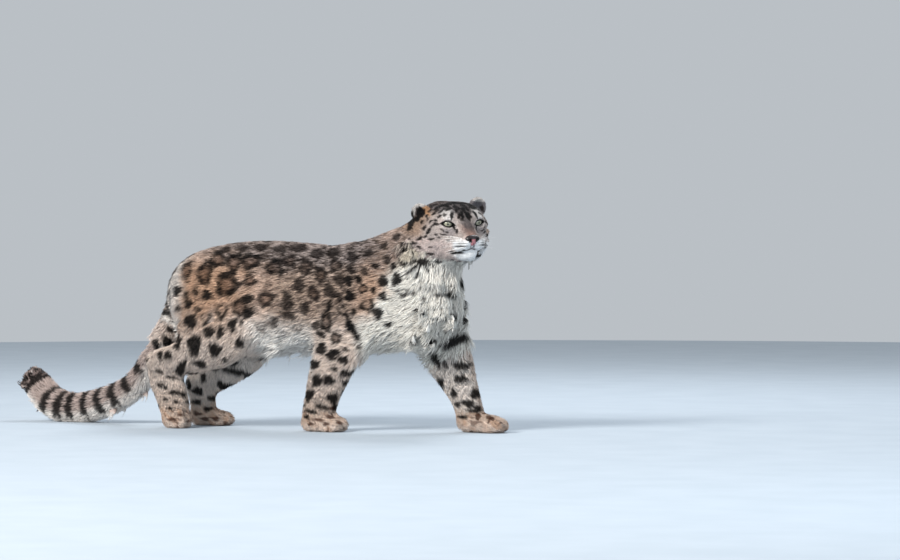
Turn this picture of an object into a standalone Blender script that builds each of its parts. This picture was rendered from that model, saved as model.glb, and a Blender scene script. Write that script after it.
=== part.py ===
"""A life-size snow leopard in mid stride, head turned to its right, modelled as closed solids.

Metres throughout. +X is forward along the spine, +Y the animal's left, +Z up. The surfaces are
those of the winter coat, out to the tips of the hair. Lofted limbs and ellipsoids are blended as
distances on a grid, skinned as one surface, and parted by cuts a hair's breadth wide.
"""

import math
from itertools import product

import bmesh
import bpy
import numpy as np
from mathutils import Matrix, Vector

# Driving dimensions
GAP = 0.0003  # between any two pieces that touch
BODY_GRAIN = 0.005  # step of the grid that the body is shaped on
HEAD_GRAIN = 0.0017  # step of the finer grid for the head
NOSE_GRAIN = 0.0012
EAR_GRAIN = 0.0014
BODY_TRIANGLES = 5600
COAT_TRIANGLES = 7440  # of the body with its locks
HEAD_TRIANGLES = 4600
NOSE_TRIANGLES = 420
EAR_TRIANGLES = 600

# Trunk, at the surface of the coat: x, height of the back, height of the belly, half width
TRUNK = (
    (-0.244, 0.462, 0.350, 0.060),
    (-0.205, 0.502, 0.305, 0.094),
    (-0.150, 0.528, 0.270, 0.116),
    (-0.060, 0.543, 0.230, 0.127),
    (0.020, 0.545, 0.214, 0.134),
    (0.120, 0.541, 0.220, 0.140),
    (0.220, 0.533, 0.226, 0.140),
    (0.320, 0.536, 0.230, 0.134),
    (0.420, 0.540, 0.238, 0.122),
    (0.490, 0.505, 0.252, 0.108),
    (0.530, 0.460, 0.285, 0.090),
)

# Limbs, neck and tail: the centre x, y, z, then half the width across and half the depth along
NECK = (
    (0.340, 0.000, 0.435, 0.105, 0.100),
    (0.420, 0.000, 0.464, 0.108, 0.110),
    (0.490, -0.004, 0.492, 0.104, 0.110),
    (0.540, -0.012, 0.530, 0.098, 0.098),
    (0.575, -0.020, 0.565, 0.080, 0.078),
)
FORELEG_RIGHT = (
    (0.400, -0.066, 0.420, 0.050, 0.075),
    (0.360, -0.084, 0.345, 0.058, 0.086),
    (0.298, -0.090, 0.262, 0.052, 0.080),
    (0.264, -0.089, 0.205, 0.045, 0.070),
    (0.240, -0.085, 0.150, 0.041, 0.061),
    (0.221, -0.080, 0.098, 0.039, 0.053),
    (0.211, -0.078, 0.060, 0.039, 0.051),
    (0.209, -0.077, 0.032, 0.037, 0.046),
)
FORELEG_LEFT = (
    (0.470, 0.070, 0.400, 0.050, 0.078),
    (0.508, 0.080, 0.320, 0.056, 0.086),
    (0.530, 0.080, 0.250, 0.050, 0.082),
    (0.551, 0.075, 0.205, 0.044, 0.072),
    (0.574, 0.070, 0.158, 0.040, 0.060),
    (0.598, 0.066, 0.110, 0.037, 0.048),
    (0.613, 0.063, 0.070, 0.037, 0.043),
    (0.618, 0.062, 0.038, 0.036, 0.042),
)
THIGH_RIGHT = (
    (-0.165, -0.060, 0.430, 0.060, 0.085),
    (-0.145, -0.076, 0.370, 0.062, 0.120),
    (-0.115, -0.086, 0.310, 0.060, 0.118),
    (-0.090, -0.090, 0.270, 0.054, 0.086),
)
SHANK_RIGHT = (
    (-0.030, -0.094, 0.280, 0.048, 0.054),
    (-0.080, -0.096, 0.252, 0.054, 0.068),
    (-0.150, -0.096, 0.226, 0.050, 0.064),
    (-0.225, -0.094, 0.204, 0.043, 0.050),
    (-0.296, -0.091, 0.194, 0.037, 0.034),
)
CANNON_RIGHT = (
    (-0.302, -0.090, 0.192, 0.034, 0.032),
    (-0.281, -0.089, 0.150, 0.037, 0.052),
    (-0.263, -0.088, 0.110, 0.039, 0.052),
    (-0.251, -0.088, 0.072, 0.040, 0.048),
    (-0.244, -0.088, 0.040, 0.039, 0.040),
)
THIGH_LEFT = (
    (-0.160, 0.060, 0.430, 0.060, 0.085),
    (-0.145, 0.074, 0.370, 0.062, 0.112),
    (-0.120, 0.084, 0.310, 0.060, 0.108),
    (-0.100, 0.088, 0.262, 0.054, 0.088),
)
SHANK_LEFT = (
    (-0.060, 0.090, 0.252, 0.048, 0.054),
    (-0.105, 0.091, 0.214, 0.050, 0.062),
    (-0.168, 0.090, 0.172, 0.045, 0.056),
    (-0.222, 0.088, 0.140, 0.040, 0.048),
    (-0.258, 0.087, 0.122, 0.036, 0.036),
)
CANNON_LEFT = (
    (-0.262, 0.086, 0.126, 0.034, 0.034),
    (-0.250, 0.086, 0.098, 0.037, 0.042),
    (-0.246, 0.085, 0.066, 0.037, 0.040),
    (-0.244, 0.085, 0.036, 0.037, 0.038),
)
TAIL = (
    (-0.222, 0.000, 0.440, 0.042, 0.034),
    (-0.262, 0.002, 0.398, 0.042, 0.038),
    (-0.295, 0.008, 0.330, 0.041, 0.040),
    (-0.338, 0.020, 0.248, 0.040, 0.041),
    (-0.402, 0.034, 0.157, 0.041, 0.042),
    (-0.500, 0.054, 0.083, 0.041, 0.042),
    (-0.587, 0.076, 0.054, 0.041, 0.041),
    (-0.669, 0.096, 0.048, 0.041, 0.040),
    (-0.746, 0.112, 0.055, 0.041, 0.041),
    (-0.804, 0.122, 0.084, 0.039, 0.039),
    (-0.824, 0.126, 0.108, 0.033, 0.033),
)
LOFTS = (  # stations, and how far each blends into what is there before it
    (NECK, 0.060),
    (THIGH_RIGHT, 0.050),
    (THIGH_LEFT, 0.050),
    (SHANK_RIGHT, 0.036),
    (SHANK_LEFT, 0.036),
    (CANNON_RIGHT, 0.020),
    (CANNON_LEFT, 0.020),
    (FORELEG_RIGHT, 0.044),
    (FORELEG_LEFT, 0.044),
    (TAIL, 0.030),
)

# Rounded masses over the lofts: centre, half sizes, blend
MASSES = (
    ((0.486, 0.000, 0.350), (0.112, 0.108, 0.114), 0.040),  # chest
    ((0.508, -0.008, 0.440), (0.092, 0.096, 0.086), 0.040),  # throat
    ((0.385, -0.046, 0.488), (0.075, 0.056, 0.056), 0.040),  # right shoulder blade
    ((0.430, 0.046, 0.488), (0.075, 0.056, 0.056), 0.040),  # left shoulder blade
    ((0.385, 0.000, 0.290), (0.095, 0.085, 0.060), 0.040),  # breastbone
    ((-0.030, 0.000, 0.262), (0.110, 0.095, 0.056), 0.040),  # groin
)

# Paws: the middle of the sole, heading in degrees, length, width, height at the knuckles
PAWS = {
    "forepaw_right": ((0.228, -0.078), -4.0, 0.150, 0.094, 0.054),
    "forepaw_left": ((0.664, 0.060), -6.0, 0.156, 0.094, 0.054),
    "hindpaw_right": ((-0.240, -0.088), -2.0, 0.086, 0.084, 0.058),
    "hindpaw_left": ((-0.214, 0.085), -4.0, 0.146, 0.086, 0.050),
}
TOES = ((-0.33, 0.17), (-0.12, 0.27), (0.12, 0.27), (0.33, 0.17))  # across and ahead, of the width and length

# Head, in its own frame: +X out of the nose, the origin between the ears at the height of the eyes
HEAD_AT = Vector((0.600, -0.020, 0.599))
HEAD_TURN = math.radians(-42.5)  # towards the animal's right
HEAD_PITCH = math.radians(3.7)  # nose down
HEAD_ROLL = math.radians(2.4)  # left ear up
HEAD_BOX = ((0.46, -0.24, 0.42), (0.80, 0.14, 0.72))  # corners of the fine grid

# Skull masses: centre, half sizes, pitch in degrees, blend. A y above 0 makes a pair.
SKULL = (
    ((-0.005, 0.0, -0.006), (0.088, 0.083, 0.058), 0, 0.040),  # cranium
    ((0.042, 0.0, 0.003), (0.050, 0.062, 0.042), 16, 0.030),  # forehead
    ((0.058, 0.034, 0.016), (0.024, 0.026, 0.016), 12, 0.018),  # brow
    ((-0.006, 0.056, -0.036), (0.062, 0.052, 0.056), 0, 0.040),  # ruff of the cheek
    ((0.044, 0.052, -0.028), (0.038, 0.034, 0.030), 0, 0.030),  # cheek bone
    ((0.088, 0.0, -0.013), (0.056, 0.021, 0.022), 25, 0.022),  # bridge of the nose
    ((0.104, 0.0, -0.047), (0.038, 0.040, 0.027), 6, 0.022),  # muzzle
    ((0.116, 0.022, -0.056), (0.029, 0.025, 0.021), 4, 0.010),  # whisker pad
    ((0.086, 0.034, -0.054), (0.038, 0.024, 0.025), 0, 0.020),  # upper lip
    ((0.109, 0.0, -0.085), (0.028, 0.029, 0.018), -6, 0.008),  # chin
    ((0.068, 0.0, -0.078), (0.056, 0.048, 0.026), 0, 0.016),  # lower jaw
    ((0.000, 0.0, -0.062), (0.080, 0.085, 0.050), 0, 0.040),  # throat
)

# Eyes, looking ahead and a little outwards, behind lids that open as an almond
EYE_AT = (0.0650, 0.0435, 0.0)
EYE_RADIUS = 0.0165
EYE_OUT = math.radians(14.0)
EYE_SLANT = math.radians(9.0)  # inner corner low
LID = 0.0030  # thickness over the eyeball
OPENING = (0.0172, 0.0118)  # half the length and the height between the lids

# Mouth: its line falls from under the nose to the corners
MOUTH_TOP = -0.0625
MOUTH_FALL = 0.0215
MOUTH_CORNER = (0.086, 0.046)  # furthest back and out
LIPS_APART = 0.0018
MOUTH_DEPTH = 0.005

# Nose leather, a wedge with two nostrils
NOSE_AT = (0.1400, 0.0, -0.0385)

# Ears: where, half sizes, then the lean outwards and the turn back of the left and the right one
EAR_HALF = (0.018, 0.029, 0.033)
EARS = {
    "ear_left": ((-0.014, 0.081, 0.032), math.radians(34.0), math.radians(6.0)),
    "ear_right": ((-0.012, -0.088, 0.022), math.radians(46.0), math.radians(38.0)),
}

# Cuts that part the body: centre, the way the plane faces, half its width and half its height
CUTS = (
    ((0.570, -0.0325, 0.544), (0.455, -0.417, 0.786), 0.160, 0.130),  # head and neck
    ((0.525, 0.000, 0.4675), (0.678, 0.000, 0.736), 0.150, 0.175),  # neck and chest
    ((0.185, 0.000, 0.400), (1.000, 0.000, 0.000), 0.160, 0.200),  # chest and middle
    ((0.035, 0.000, 0.400), (1.000, 0.000, 0.000), 0.160, 0.205),  # middle and hips
    ((0.258, -0.089, 0.188), (0.000, 0.000, 1.000), 0.062, 0.090),  # right foreleg
    ((0.548, 0.077, 0.212), (-0.400, 0.000, 0.917), 0.062, 0.095),  # left foreleg
    ((0.215, -0.078, 0.064), (0.000, 0.000, 1.000), 0.060, 0.085),  # right forepaw
    ((0.620, 0.062, 0.064), (0.000, 0.000, 1.000), 0.060, 0.085),  # left forepaw
    ((-0.1325, -0.080, 0.270), (0.000, 0.718, 0.696), 0.1675, 0.115),  # right thigh
    ((-0.1325, 0.080, 0.270), (0.000, -0.718, 0.696), 0.1675, 0.115),  # left thigh
    ((-0.235, -0.093, 0.203), (0.960, 0.000, 0.280), 0.060, 0.062),  # right hock
    ((-0.190, 0.089, 0.158), (0.880, 0.000, 0.475), 0.060, 0.062),  # left hock
    ((-0.250, -0.088, 0.062), (0.000, 0.000, 1.000), 0.060, 0.075),  # right hind paw
    ((-0.245, 0.085, 0.060), (0.000, 0.000, 1.000), 0.060, 0.075),  # left hind paw
    ((-0.306, 0.008, 0.318), (0.490, 0.000, 0.872), 0.064, 0.064),  # tail
    ((-0.400, 0.033, 0.165), (0.600, 0.000, 0.800), 0.066, 0.066),
    ((-0.545, 0.065, 0.066), (0.960, -0.250, 0.200), 0.070, 0.070),
    ((-0.700, 0.102, 0.048), (0.960, -0.250, -0.060), 0.070, 0.070),
)

# Locks of the long coat: length, width at the broadest, thickness, how far the tip stands off,
# and how far the edges drop round the curve of what the lock lies on
TAIL_LOCK = (0.135, 0.056, 0.007, 0.012, 0.007)
BELLY_LOCK = (0.105, 0.052, 0.008, 0.014, 0.002)
CHEST_LOCK = (0.115, 0.050, 0.008, 0.013, 0.003)
CHEEK_LOCK = (0.074, 0.038, 0.006, 0.010, 0.002)
LOCK_DEPTH = 0.16  # furthest from a start inside the body to the root

# A point inside each piece
ANCHORS = {
    "neck": (0.560, -0.010, 0.490),
    "torso_front": (0.400, 0.000, 0.400),
    "torso_middle": (0.120, 0.000, 0.400),
    "torso_rear": (-0.100, 0.000, 0.430),
    "foreleg_right": (0.230, -0.083, 0.130),
    "foreleg_left": (0.585, 0.068, 0.140),
    "forepaw_right": (0.225, -0.078, 0.030),
    "forepaw_left": (0.650, 0.060, 0.030),
    "thigh_right": (-0.100, -0.098, 0.250),
    "thigh_left": (-0.100, 0.092, 0.230),
    "hock_right": (-0.275, -0.089, 0.140),
    "hock_left": (-0.248, 0.086, 0.100),
    "hindpaw_right": (-0.245, -0.088, 0.030),
    "hindpaw_left": (-0.225, 0.085, 0.030),
    "tail_root": (-0.346, 0.020, 0.248),
    "tail_middle": (-0.480, 0.050, 0.095),
    "tail_bend": (-0.620, 0.084, 0.050),
    "tail_tip": (-0.780, 0.118, 0.075),
}

def clear_scene():
    for obj in list(bpy.data.objects):
        bpy.data.objects.remove(obj)


def object_of(name, points, faces):
    mesh = bpy.data.meshes.new(name)
    mesh.from_pydata(points, [], faces)
    obj = bpy.data.objects.new(name, mesh)
    bpy.context.scene.collection.objects.link(obj)
    return obj


def smooth_path(stations, per_span=5):
    """Points of a Catmull-Rom curve through the stations, sizes included."""
    rows = np.array(stations, float)
    padded = np.vstack((2 * rows[0] - rows[1], rows, 2 * rows[-1] - rows[-2]))
    found = []
    for i in range(len(rows) - 1):
        a, b, c, d = padded[i : i + 4]
        for t in np.arange(per_span) / per_span:
            bend = (2 * a - 5 * b + 4 * c - d) * t**2 + (3 * b - a - 3 * c + d) * t**3
            found.append(0.5 * (2 * b + (c - a) * t + bend))
    found.append(rows[-1])
    return np.array(found)


def round_distance(local, sizes):
    """About the distance to the surface of an ellipsoid, from coordinates along its own axes."""
    near = sum((c / s) ** 2 for c, s in zip(local, sizes)) ** 0.5
    steep = sum((c / s**2) ** 2 for c, s in zip(local, sizes)) ** 0.5
    return near * (near - 1.0) / np.maximum(steep, 1e-6)


class Clay:
    """Distances to a growing form, on a grid of even steps. They are negative inside it."""

    def __init__(self, low, high, step):
        self.low, self.step = np.array(low, float), step
        self.count = np.ceil((np.array(high) - self.low) / step).astype(int) + 1
        self.field = np.full(self.count, 1.0, np.float32)

    def block(self, low, high):
        """The part of the grid between two corners, as slices and open coordinates."""
        first = np.clip(((np.array(low) - self.low) / self.step).astype(int), 0, self.count - 1)
        last = np.clip(((np.array(high) - self.low) / self.step).astype(int) + 2, 1, self.count)
        if (last <= first).any():
            return None, None
        slices = tuple(slice(a, b) for a, b in zip(first, last))
        ranges = (start + self.step * np.arange(a, b) for start, a, b in zip(self.low, first, last))
        return slices, np.ix_(*ranges)

    def add(self, slices, distance, blend):
        """Unites the field with a form, the seam filled over a width of blend."""
        old = self.field[slices]
        near = np.maximum(blend - np.abs(old - distance), 0.0)
        self.field[slices] = np.minimum(old, distance) - near**2 / (4 * blend)

    def carve(self, slices, distance, blend):
        """Takes a form out of the field, the edge rounded over a width of blend."""
        old = self.field[slices]
        near = np.maximum(blend - np.abs(old + distance), 0.0)
        self.field[slices] = np.maximum(old, -distance) + near**2 / (4 * blend)

    def local(self, placed, reach):
        """The block round a placing matrix, and its points' coordinates along the axes of the matrix."""
        turn = np.array(placed.to_3x3())
        centre = np.array(placed.translation)
        half = np.sqrt(((turn * np.array(reach)) ** 2).sum(1))
        slices, where = self.block(centre - half, centre + half)
        if slices is None:
            return None, None
        away = [w - c for w, c in zip(where, centre)]
        return slices, [sum(turn[k, i] * away[k] for k in range(3)) for i in range(3)]

    def ellipsoid(self, placed, sizes, blend, carved=False):
        """An ellipsoid of these half sizes along the axes of a placing matrix."""
        slices, local = self.local(placed, [s + blend for s in sizes])
        if slices is not None:
            (self.carve if carved else self.add)(slices, round_distance(local, sizes), blend)

    def loft(self, stations, blend, carved=False):
        """A round-ended limb through stations of centre, half width and half depth."""
        path = smooth_path(stations)
        reach = path[:, 3:].max() + blend + self.step
        slices, where = self.block((path[:, :3] - reach).min(0), (path[:, :3] + reach).max(0))
        if slices is None:
            return
        whole = np.full(self.field[slices].shape, 1.0, np.float32)
        for start, end in zip(path, path[1:]):
            axis = end[:3] - start[:3]
            length = np.linalg.norm(axis)
            axis /= length
            across = np.array((0.0, 1.0, 0.0)) - axis[1] * axis
            across /= np.linalg.norm(across)
            over = np.cross(axis, across)
            wide = max(start[3:].max(), end[3:].max()) + blend
            low = np.minimum(start[:3], end[:3]) - wide
            high = np.maximum(start[:3], end[:3]) + wide
            part, points = self.block(low, high)
            if part is None:
                continue
            away = [p - c for p, c in zip(points, start[:3])]
            along, side, depth = (sum(v[k] * away[k] for k in range(3)) for v in (axis, across, over))
            share = np.clip(along / length, 0.0, 1.0)
            width = start[3] + (end[3] - start[3]) * share
            height = start[4] + (end[4] - start[4]) * share
            sizes = (np.minimum(width, height), width, height)
            distance = round_distance((along - share * length, side, depth), sizes)
            inner = tuple(slice(p.start - s.start, p.stop - s.start) for p, s in zip(part, slices))
            whole[inner] = np.minimum(whole[inner], distance)
        (self.carve if carved else self.add)(slices, whole, blend)

    def surface(self, name):
        """The zero of the field as a mesh: one point in each mixed cell, one quad at each crossing."""
        for axis in range(3):
            edge = np.moveaxis(self.field, axis, 0)
            edge[[0, -1]] = np.maximum(edge[[0, -1]], self.step)
        inside = self.field < 0
        total = sum(
            inside[i : i + self.count[0] - 1, j : j + self.count[1] - 1, k : k + self.count[2] - 1].astype(np.int8)
            for i, j, k in product((0, 1), repeat=3)
        )
        mixed = (total > 0) & (total < 8)
        cells = np.argwhere(mixed)
        index = np.full(mixed.shape, -1)
        index[mixed] = np.arange(len(cells))
        sums, hits = np.zeros((len(cells), 3)), np.zeros(len(cells))
        quads = []
        for axis in range(3):
            one = np.eye(3, dtype=int)[axis]
            sides = [np.eye(3, dtype=int)[(axis + k) % 3] for k in (1, 2)]
            for i, j in product((0, 1), repeat=2):
                corner = i * sides[0] + j * sides[1]
                start, end = (self.field[tuple((cells + o).T)] for o in (corner, corner + one))
                crossed = (start < 0) != (end < 0)
                share = start[crossed] / (start[crossed] - end[crossed])
                sums[crossed] += corner + share[:, None] * one
                hits[crossed] += 1
            flat = np.moveaxis(inside, axis, 0)
            changes = np.argwhere(flat[:-1] != flat[1:])
            edges = np.empty_like(changes)
            for place, kept in enumerate([axis] + [a for a in range(3) if a != axis]):
                edges[:, kept] = changes[:, place]
            rounds = ((0, 0), (1, 0), (1, 1), (0, 1))
            around = [index[tuple((edges - i * sides[0] - j * sides[1]).T)] for i, j in rounds]
            turned = inside[tuple(edges.T)]
            corners = np.stack(around, 1)
            quads.append(np.where(turned[:, None], corners, corners[:, ::-1]))
        points = self.low + self.step * (cells + sums / hits[:, None])
        return object_of(name, points.tolist(), np.vstack(quads).tolist())


def head_matrix():
    turned = Matrix.Rotation(HEAD_TURN, 4, "Z") @ Matrix.Rotation(HEAD_PITCH, 4, "Y")
    return Matrix.Translation(HEAD_AT) @ turned @ Matrix.Rotation(HEAD_ROLL, 4, "X")


def eye_matrix(side):
    """+X out of the pupil, +Y along the opening; 1 is the left eye and -1 the right."""
    x, y, z = EYE_AT
    slant = Matrix.Rotation(side * EYE_SLANT, 4, "X")
    return head_matrix() @ Matrix.Translation((x, side * y, z)) @ Matrix.Rotation(side * EYE_OUT, 4, "Z") @ slant


def ear_matrix(name):
    """+X out of the hollow, +Z towards the tip."""
    at, lean, turn = EARS[name]
    side = math.copysign(1.0, at[1])
    turned = Matrix.Rotation(side * turn, 4, "Z") @ Matrix.Rotation(-side * lean, 4, "X")
    return head_matrix() @ Matrix.Translation(at) @ turned


def both_sides(point):
    """The point, and its mirror image where it lies off the middle."""
    x, y, z = point
    return [Vector((x, y, z))] if y == 0 else [Vector((x, y, z)), Vector((x, -y, z))]


def shape_trunk_and_limbs(clay):
    rows = [(x, 0.0, (back + belly) / 2, wide, (back - belly) / 2) for x, back, belly, wide in TRUNK]
    clay.loft(rows, 0.001)
    for stations, blend in LOFTS[:3]:
        clay.loft(stations, blend)
    for centre, sizes, blend in MASSES:
        clay.ellipsoid(Matrix.Translation(centre), sizes, blend)
    for stations, blend in LOFTS[3:]:
        clay.loft(stations, blend)


def shape_paws(clay):
    """Four toes fanned round the front of a low pad, and the heel behind them."""
    for (x, y), heading, length, width, height in PAWS.values():
        placed = Matrix.Translation((x, y, 0.0)) @ Matrix.Rotation(math.radians(heading), 4, "Z")
        heel = Matrix.Translation((-0.16 * length, 0.0, 0.42 * height))
        clay.ellipsoid(placed @ heel, (0.34 * length, 0.43 * width, 0.54 * height), 0.020)
        knuckles = Matrix.Translation((0.10 * length, 0.0, 0.48 * height))
        clay.ellipsoid(placed @ knuckles, (0.30 * length, 0.42 * width, 0.52 * height), 0.014)
        for across, ahead in TOES:
            toe = Matrix.Translation((ahead * length, across * width, 0.38 * height))
            clay.ellipsoid(placed @ toe, (0.24 * length, 0.155 * width, 0.46 * height), 0.007)


def shape_head(clay):
    head = head_matrix()
    for centre, sizes, pitch, blend in SKULL:
        for point in both_sides(centre):
            tilt = Matrix.Rotation(math.radians(pitch), 4, "Y")
            clay.ellipsoid(head @ Matrix.Translation(point) @ tilt, sizes, blend)


def shape_lids(clay):
    """A shell over each eyeball, opened where the two lids part."""
    length, height = OPENING
    bend = (length**2 + height**2) / (2 * height)
    for side in (1, -1):
        placed = eye_matrix(side)
        clay.ellipsoid(placed, [EYE_RADIUS + LID] * 3, 0.010)
        slices, (ahead, across, up) = clay.local(placed, (0.030, 0.026, 0.020))
        lids = [np.sqrt(across**2 + (up + way * (bend - height)) ** 2) - bend for way in (1, -1)]
        clay.carve(slices, np.maximum(np.maximum(*lids), 0.004 - ahead), 0.002)


def shape_mouth(clay):
    """A groove of even depth along the line between the lips."""
    placed = head_matrix() @ Matrix.Translation((0.110, 0.0, -0.072))
    slices, (ahead, across, up) = clay.local(placed, (0.060, 0.060, 0.030))
    back, out = MOUTH_CORNER
    line = MOUTH_TOP + 0.072 - MOUTH_FALL * np.minimum(np.abs(across) / out, 1.0) ** 0.85
    depth = -clay.field[slices] - MOUTH_DEPTH
    ends = np.maximum(np.abs(across) - out, back - 0.110 - ahead)
    clay.carve(slices, np.maximum(np.maximum(np.abs(up - line) - LIPS_APART, depth), ends), 0.0015)


def apply_modifiers(obj):
    """Puts the mesh that the modifiers give in place of the object's own."""
    graph = bpy.context.evaluated_depsgraph_get()
    made = bpy.data.meshes.new_from_object(obj.evaluated_get(graph))
    obj.modifiers.clear()
    obj.data = made
    return obj


def add_modifier(obj, kind, **settings):
    modifier = obj.modifiers.new(kind.lower(), kind)
    for key, value in settings.items():
        setattr(modifier, key, value)
    return modifier


def lighten(obj, rounds, triangles):
    """Smooths the grain away, then thins the mesh to this many triangles."""
    add_modifier(obj, "SMOOTH", factor=0.5, iterations=rounds)
    now = sum(len(f.vertices) - 2 for f in obj.data.polygons)
    add_modifier(obj, "DECIMATE", ratio=triangles / now)
    return apply_modifiers(obj)


def sculpt_body():
    """Trunk, limbs and tail, with a plain head for the neck to blend with."""
    clay = Clay((-0.90, -0.19, -0.03), (0.80, 0.20, 0.72), BODY_GRAIN)
    shape_trunk_and_limbs(clay)
    shape_head(clay)
    shape_paws(clay)
    return lighten(clay.surface("body"), 3, BODY_TRIANGLES)


def sculpt_head():
    clay = Clay(*HEAD_BOX, HEAD_GRAIN)
    shape_trunk_and_limbs(clay)
    shape_head(clay)
    shape_lids(clay)
    shape_mouth(clay)
    head = clay.surface("head")
    add_modifier(head, "REMESH", mode="VOXEL", voxel_size=HEAD_GRAIN * 0.9, adaptivity=0.0)
    return lighten(apply_modifiers(head), 2, HEAD_TRIANGLES)


def sculpt_nose():
    """The leather at the front of the muzzle, wide above and narrow below, with its nostrils."""
    placed = head_matrix() @ Matrix.Translation(NOSE_AT)
    centre = np.array(placed.translation)
    clay = Clay(centre - 0.036, centre + 0.036, NOSE_GRAIN)
    clay.ellipsoid(placed, (0.012, 0.0215, 0.011), 0.001)
    clay.ellipsoid(placed @ Matrix.Translation((-0.001, 0.0, -0.009)), (0.010, 0.008, 0.011), 0.010)
    for side in (1, -1):
        nostril = Matrix.Translation((0.009, side * 0.0095, -0.002)) @ Matrix.Rotation(side * 0.5, 4, "X")
        clay.ellipsoid(placed @ nostril, (0.008, 0.0052, 0.0034), 0.002, carved=True)
    return lighten(clay.surface("nose"), 2, NOSE_TRIANGLES)


def sculpt_ear(name, head):
    """A cup standing on the head, its hollow turned to the front or, on the right, to the side."""
    placed = ear_matrix(name)
    centre = np.array(placed.translation)
    clay = Clay(centre - 0.045, centre + 0.045, EAR_GRAIN)
    clay.ellipsoid(placed, EAR_HALF, 0.001)
    hollow = placed @ Matrix.Translation((0.016, 0.0, 0.005))
    clay.ellipsoid(hollow, (0.016, 0.0225, 0.026), 0.004, carved=True)
    ear = lighten(clay.surface("cup"), 2, EAR_TRIANGLES)
    cut_away(ear, grown(head, GAP))
    return largest(ear, name)


def eyeball(name, side):
    bm = bmesh.new()
    bmesh.ops.create_icosphere(bm, subdivisions=3, radius=EYE_RADIUS, matrix=eye_matrix(side))
    points, faces = [v.co.copy() for v in bm.verts], [[v.index for v in f.verts] for f in bm.faces]
    bm.free()
    return object_of(name, points, faces)


def lock(obj, root, lie, sizes):
    """A flat tapering lock, rooted under the skin, that rises and then follows the surface along its lie."""
    length, width, thick, rise, drop = sizes
    points = []
    for along, lift, wide in ((0.0, -1.0, 0.65), (0.34, 0.20, 1.0), (0.72, 0.75, 0.60), (1.0, 1.0, 0.0)):
        spot = root + lie * (length * along)
        _, near, normal, _ = obj.closest_point_on_mesh(spot)
        centre = near + normal * (rise * lift + max(0.0, (spot - near).dot(normal)) / 2)
        half, fall = normal.cross(lie).normalized() * (width * wide / 2), normal * (drop * wide * wide)
        points += [centre - half - fall, centre + normal * (thick * wide), centre + half - fall, centre]
    faces = [(0, 1, 3), (1, 2, 3)]
    for k in range(4):
        after = (k + 1) % 4
        for ring in (0, 4):
            faces += [(ring + k, ring + 4 + k, ring + 4 + after), (ring + k, ring + 4 + after, ring + after)]
        faces.append((8 + k, 12, 8 + after))
    return object_of("lock", points[:13], faces)


def tail_roots():
    """Rows of locks round the tail, each row turned half a step from the last."""
    path = smooth_path(TAIL)[:, :3]
    walked = np.concatenate(([0.0], np.cumsum(np.linalg.norm(np.diff(path, axis=0), axis=1))))
    for row, at in enumerate(np.arange(0.145, walked[-1] + 0.01, 0.094)):
        here, ahead = (np.array([np.interp(at + d, walked, path[:, k]) for k in range(3)]) for d in (-0.01, 0.0))
        lie = Vector(ahead - here).normalized()
        across = (Vector((0.0, 1.0, 0.0)) - lie * lie.y).normalized()
        for turn in (np.arange(4) + 0.5 * (row % 2)) * math.pi / 2:
            yield Vector(here), across * math.cos(turn) + across.cross(lie) * math.sin(turn), lie, TAIL_LOCK


def belly_roots():
    """A fringe under the trunk, swept backwards."""
    for row, x in enumerate(np.arange(0.050, 0.46, 0.070)):
        for y in (-0.045, 0.045) if row % 2 else (0.0,):
            start = Vector((x, y, 0.33))
            yield start, Vector((0.0, y * 4, -1.0)).normalized(), Vector((-1.0, 0.0, -0.2)), BELLY_LOCK


def chest_roots():
    """The bib from the throat down between the forelegs, hanging."""
    for row, z in enumerate(np.arange(0.325, 0.49, 0.052)):
        for turn in (np.arange(-2, 2) + 0.5 * (row % 2) + 0.15) * math.radians(36.0):
            start = Vector((0.48 + 0.2 * (z - 0.325), -0.01, z))
            outwards = Vector((math.cos(turn), math.sin(turn), -0.1)).normalized()
            yield start, outwards, Vector((-0.1, 0.0, -1.0)), CHEST_LOCK


def cheek_roots():
    """The ruff behind each cheek, swept back and down."""
    head = head_matrix()
    turn = head.to_3x3()
    for side in (1, -1):
        for ahead, up in ((0.35, -0.85), (0.20, -0.42), (0.20, -0.02)):
            start = head @ Vector((0.0, side * 0.03, -0.03))
            outwards = (turn @ Vector((ahead, side, up))).normalized()
            yield start, outwards, turn @ Vector((-0.8, side * 0.2, -0.6)), CHEEK_LOCK


def locks_on(obj, *all_roots):
    """Locks standing on an object at each root, each a little longer or shorter than the last."""
    draw = np.random.default_rng(7)
    for roots in all_roots:
        for start, outwards, lie, (length, *rest) in roots:
            hit, root, normal, _ = obj.ray_cast(start, outwards, distance=LOCK_DEPTH)
            lie = (lie - normal * lie.dot(normal)).normalized()
            if hit:
                yield lock(obj, root, lie, (length * draw.uniform(0.88, 1.12), *rest))


def fuse(obj, pieces):
    """Joins the pieces to the object in one union."""
    group = bpy.data.collections.new("pieces")
    bpy.context.scene.collection.children.link(group)
    for piece in pieces:
        group.objects.link(piece)
    add_modifier(obj, "BOOLEAN", operation="UNION", solver="MANIFOLD", operand_type="COLLECTION", collection=group)
    apply_modifiers(obj)
    for piece in pieces:
        bpy.data.objects.remove(piece)
    bpy.data.collections.remove(group)


def copy_of(obj):
    return object_of(obj.name, [v.co for v in obj.data.vertices], [tuple(f.vertices) for f in obj.data.polygons])


def grow_coat(body, head):
    """The long locks, fused before the cuts so that each cut ends a lock cleanly."""
    ruff = list(locks_on(head, cheek_roots()))
    long = list(locks_on(body, tail_roots(), belly_roots(), chest_roots()))
    high = [piece for piece in long if max(v.co.z for v in piece.data.vertices) > HEAD_BOX[0][2]]
    fuse(head, [copy_of(piece) for piece in high + ruff])
    fuse(body, long + ruff)
    lighten(body, 0, COAT_TRIANGLES)


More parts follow.
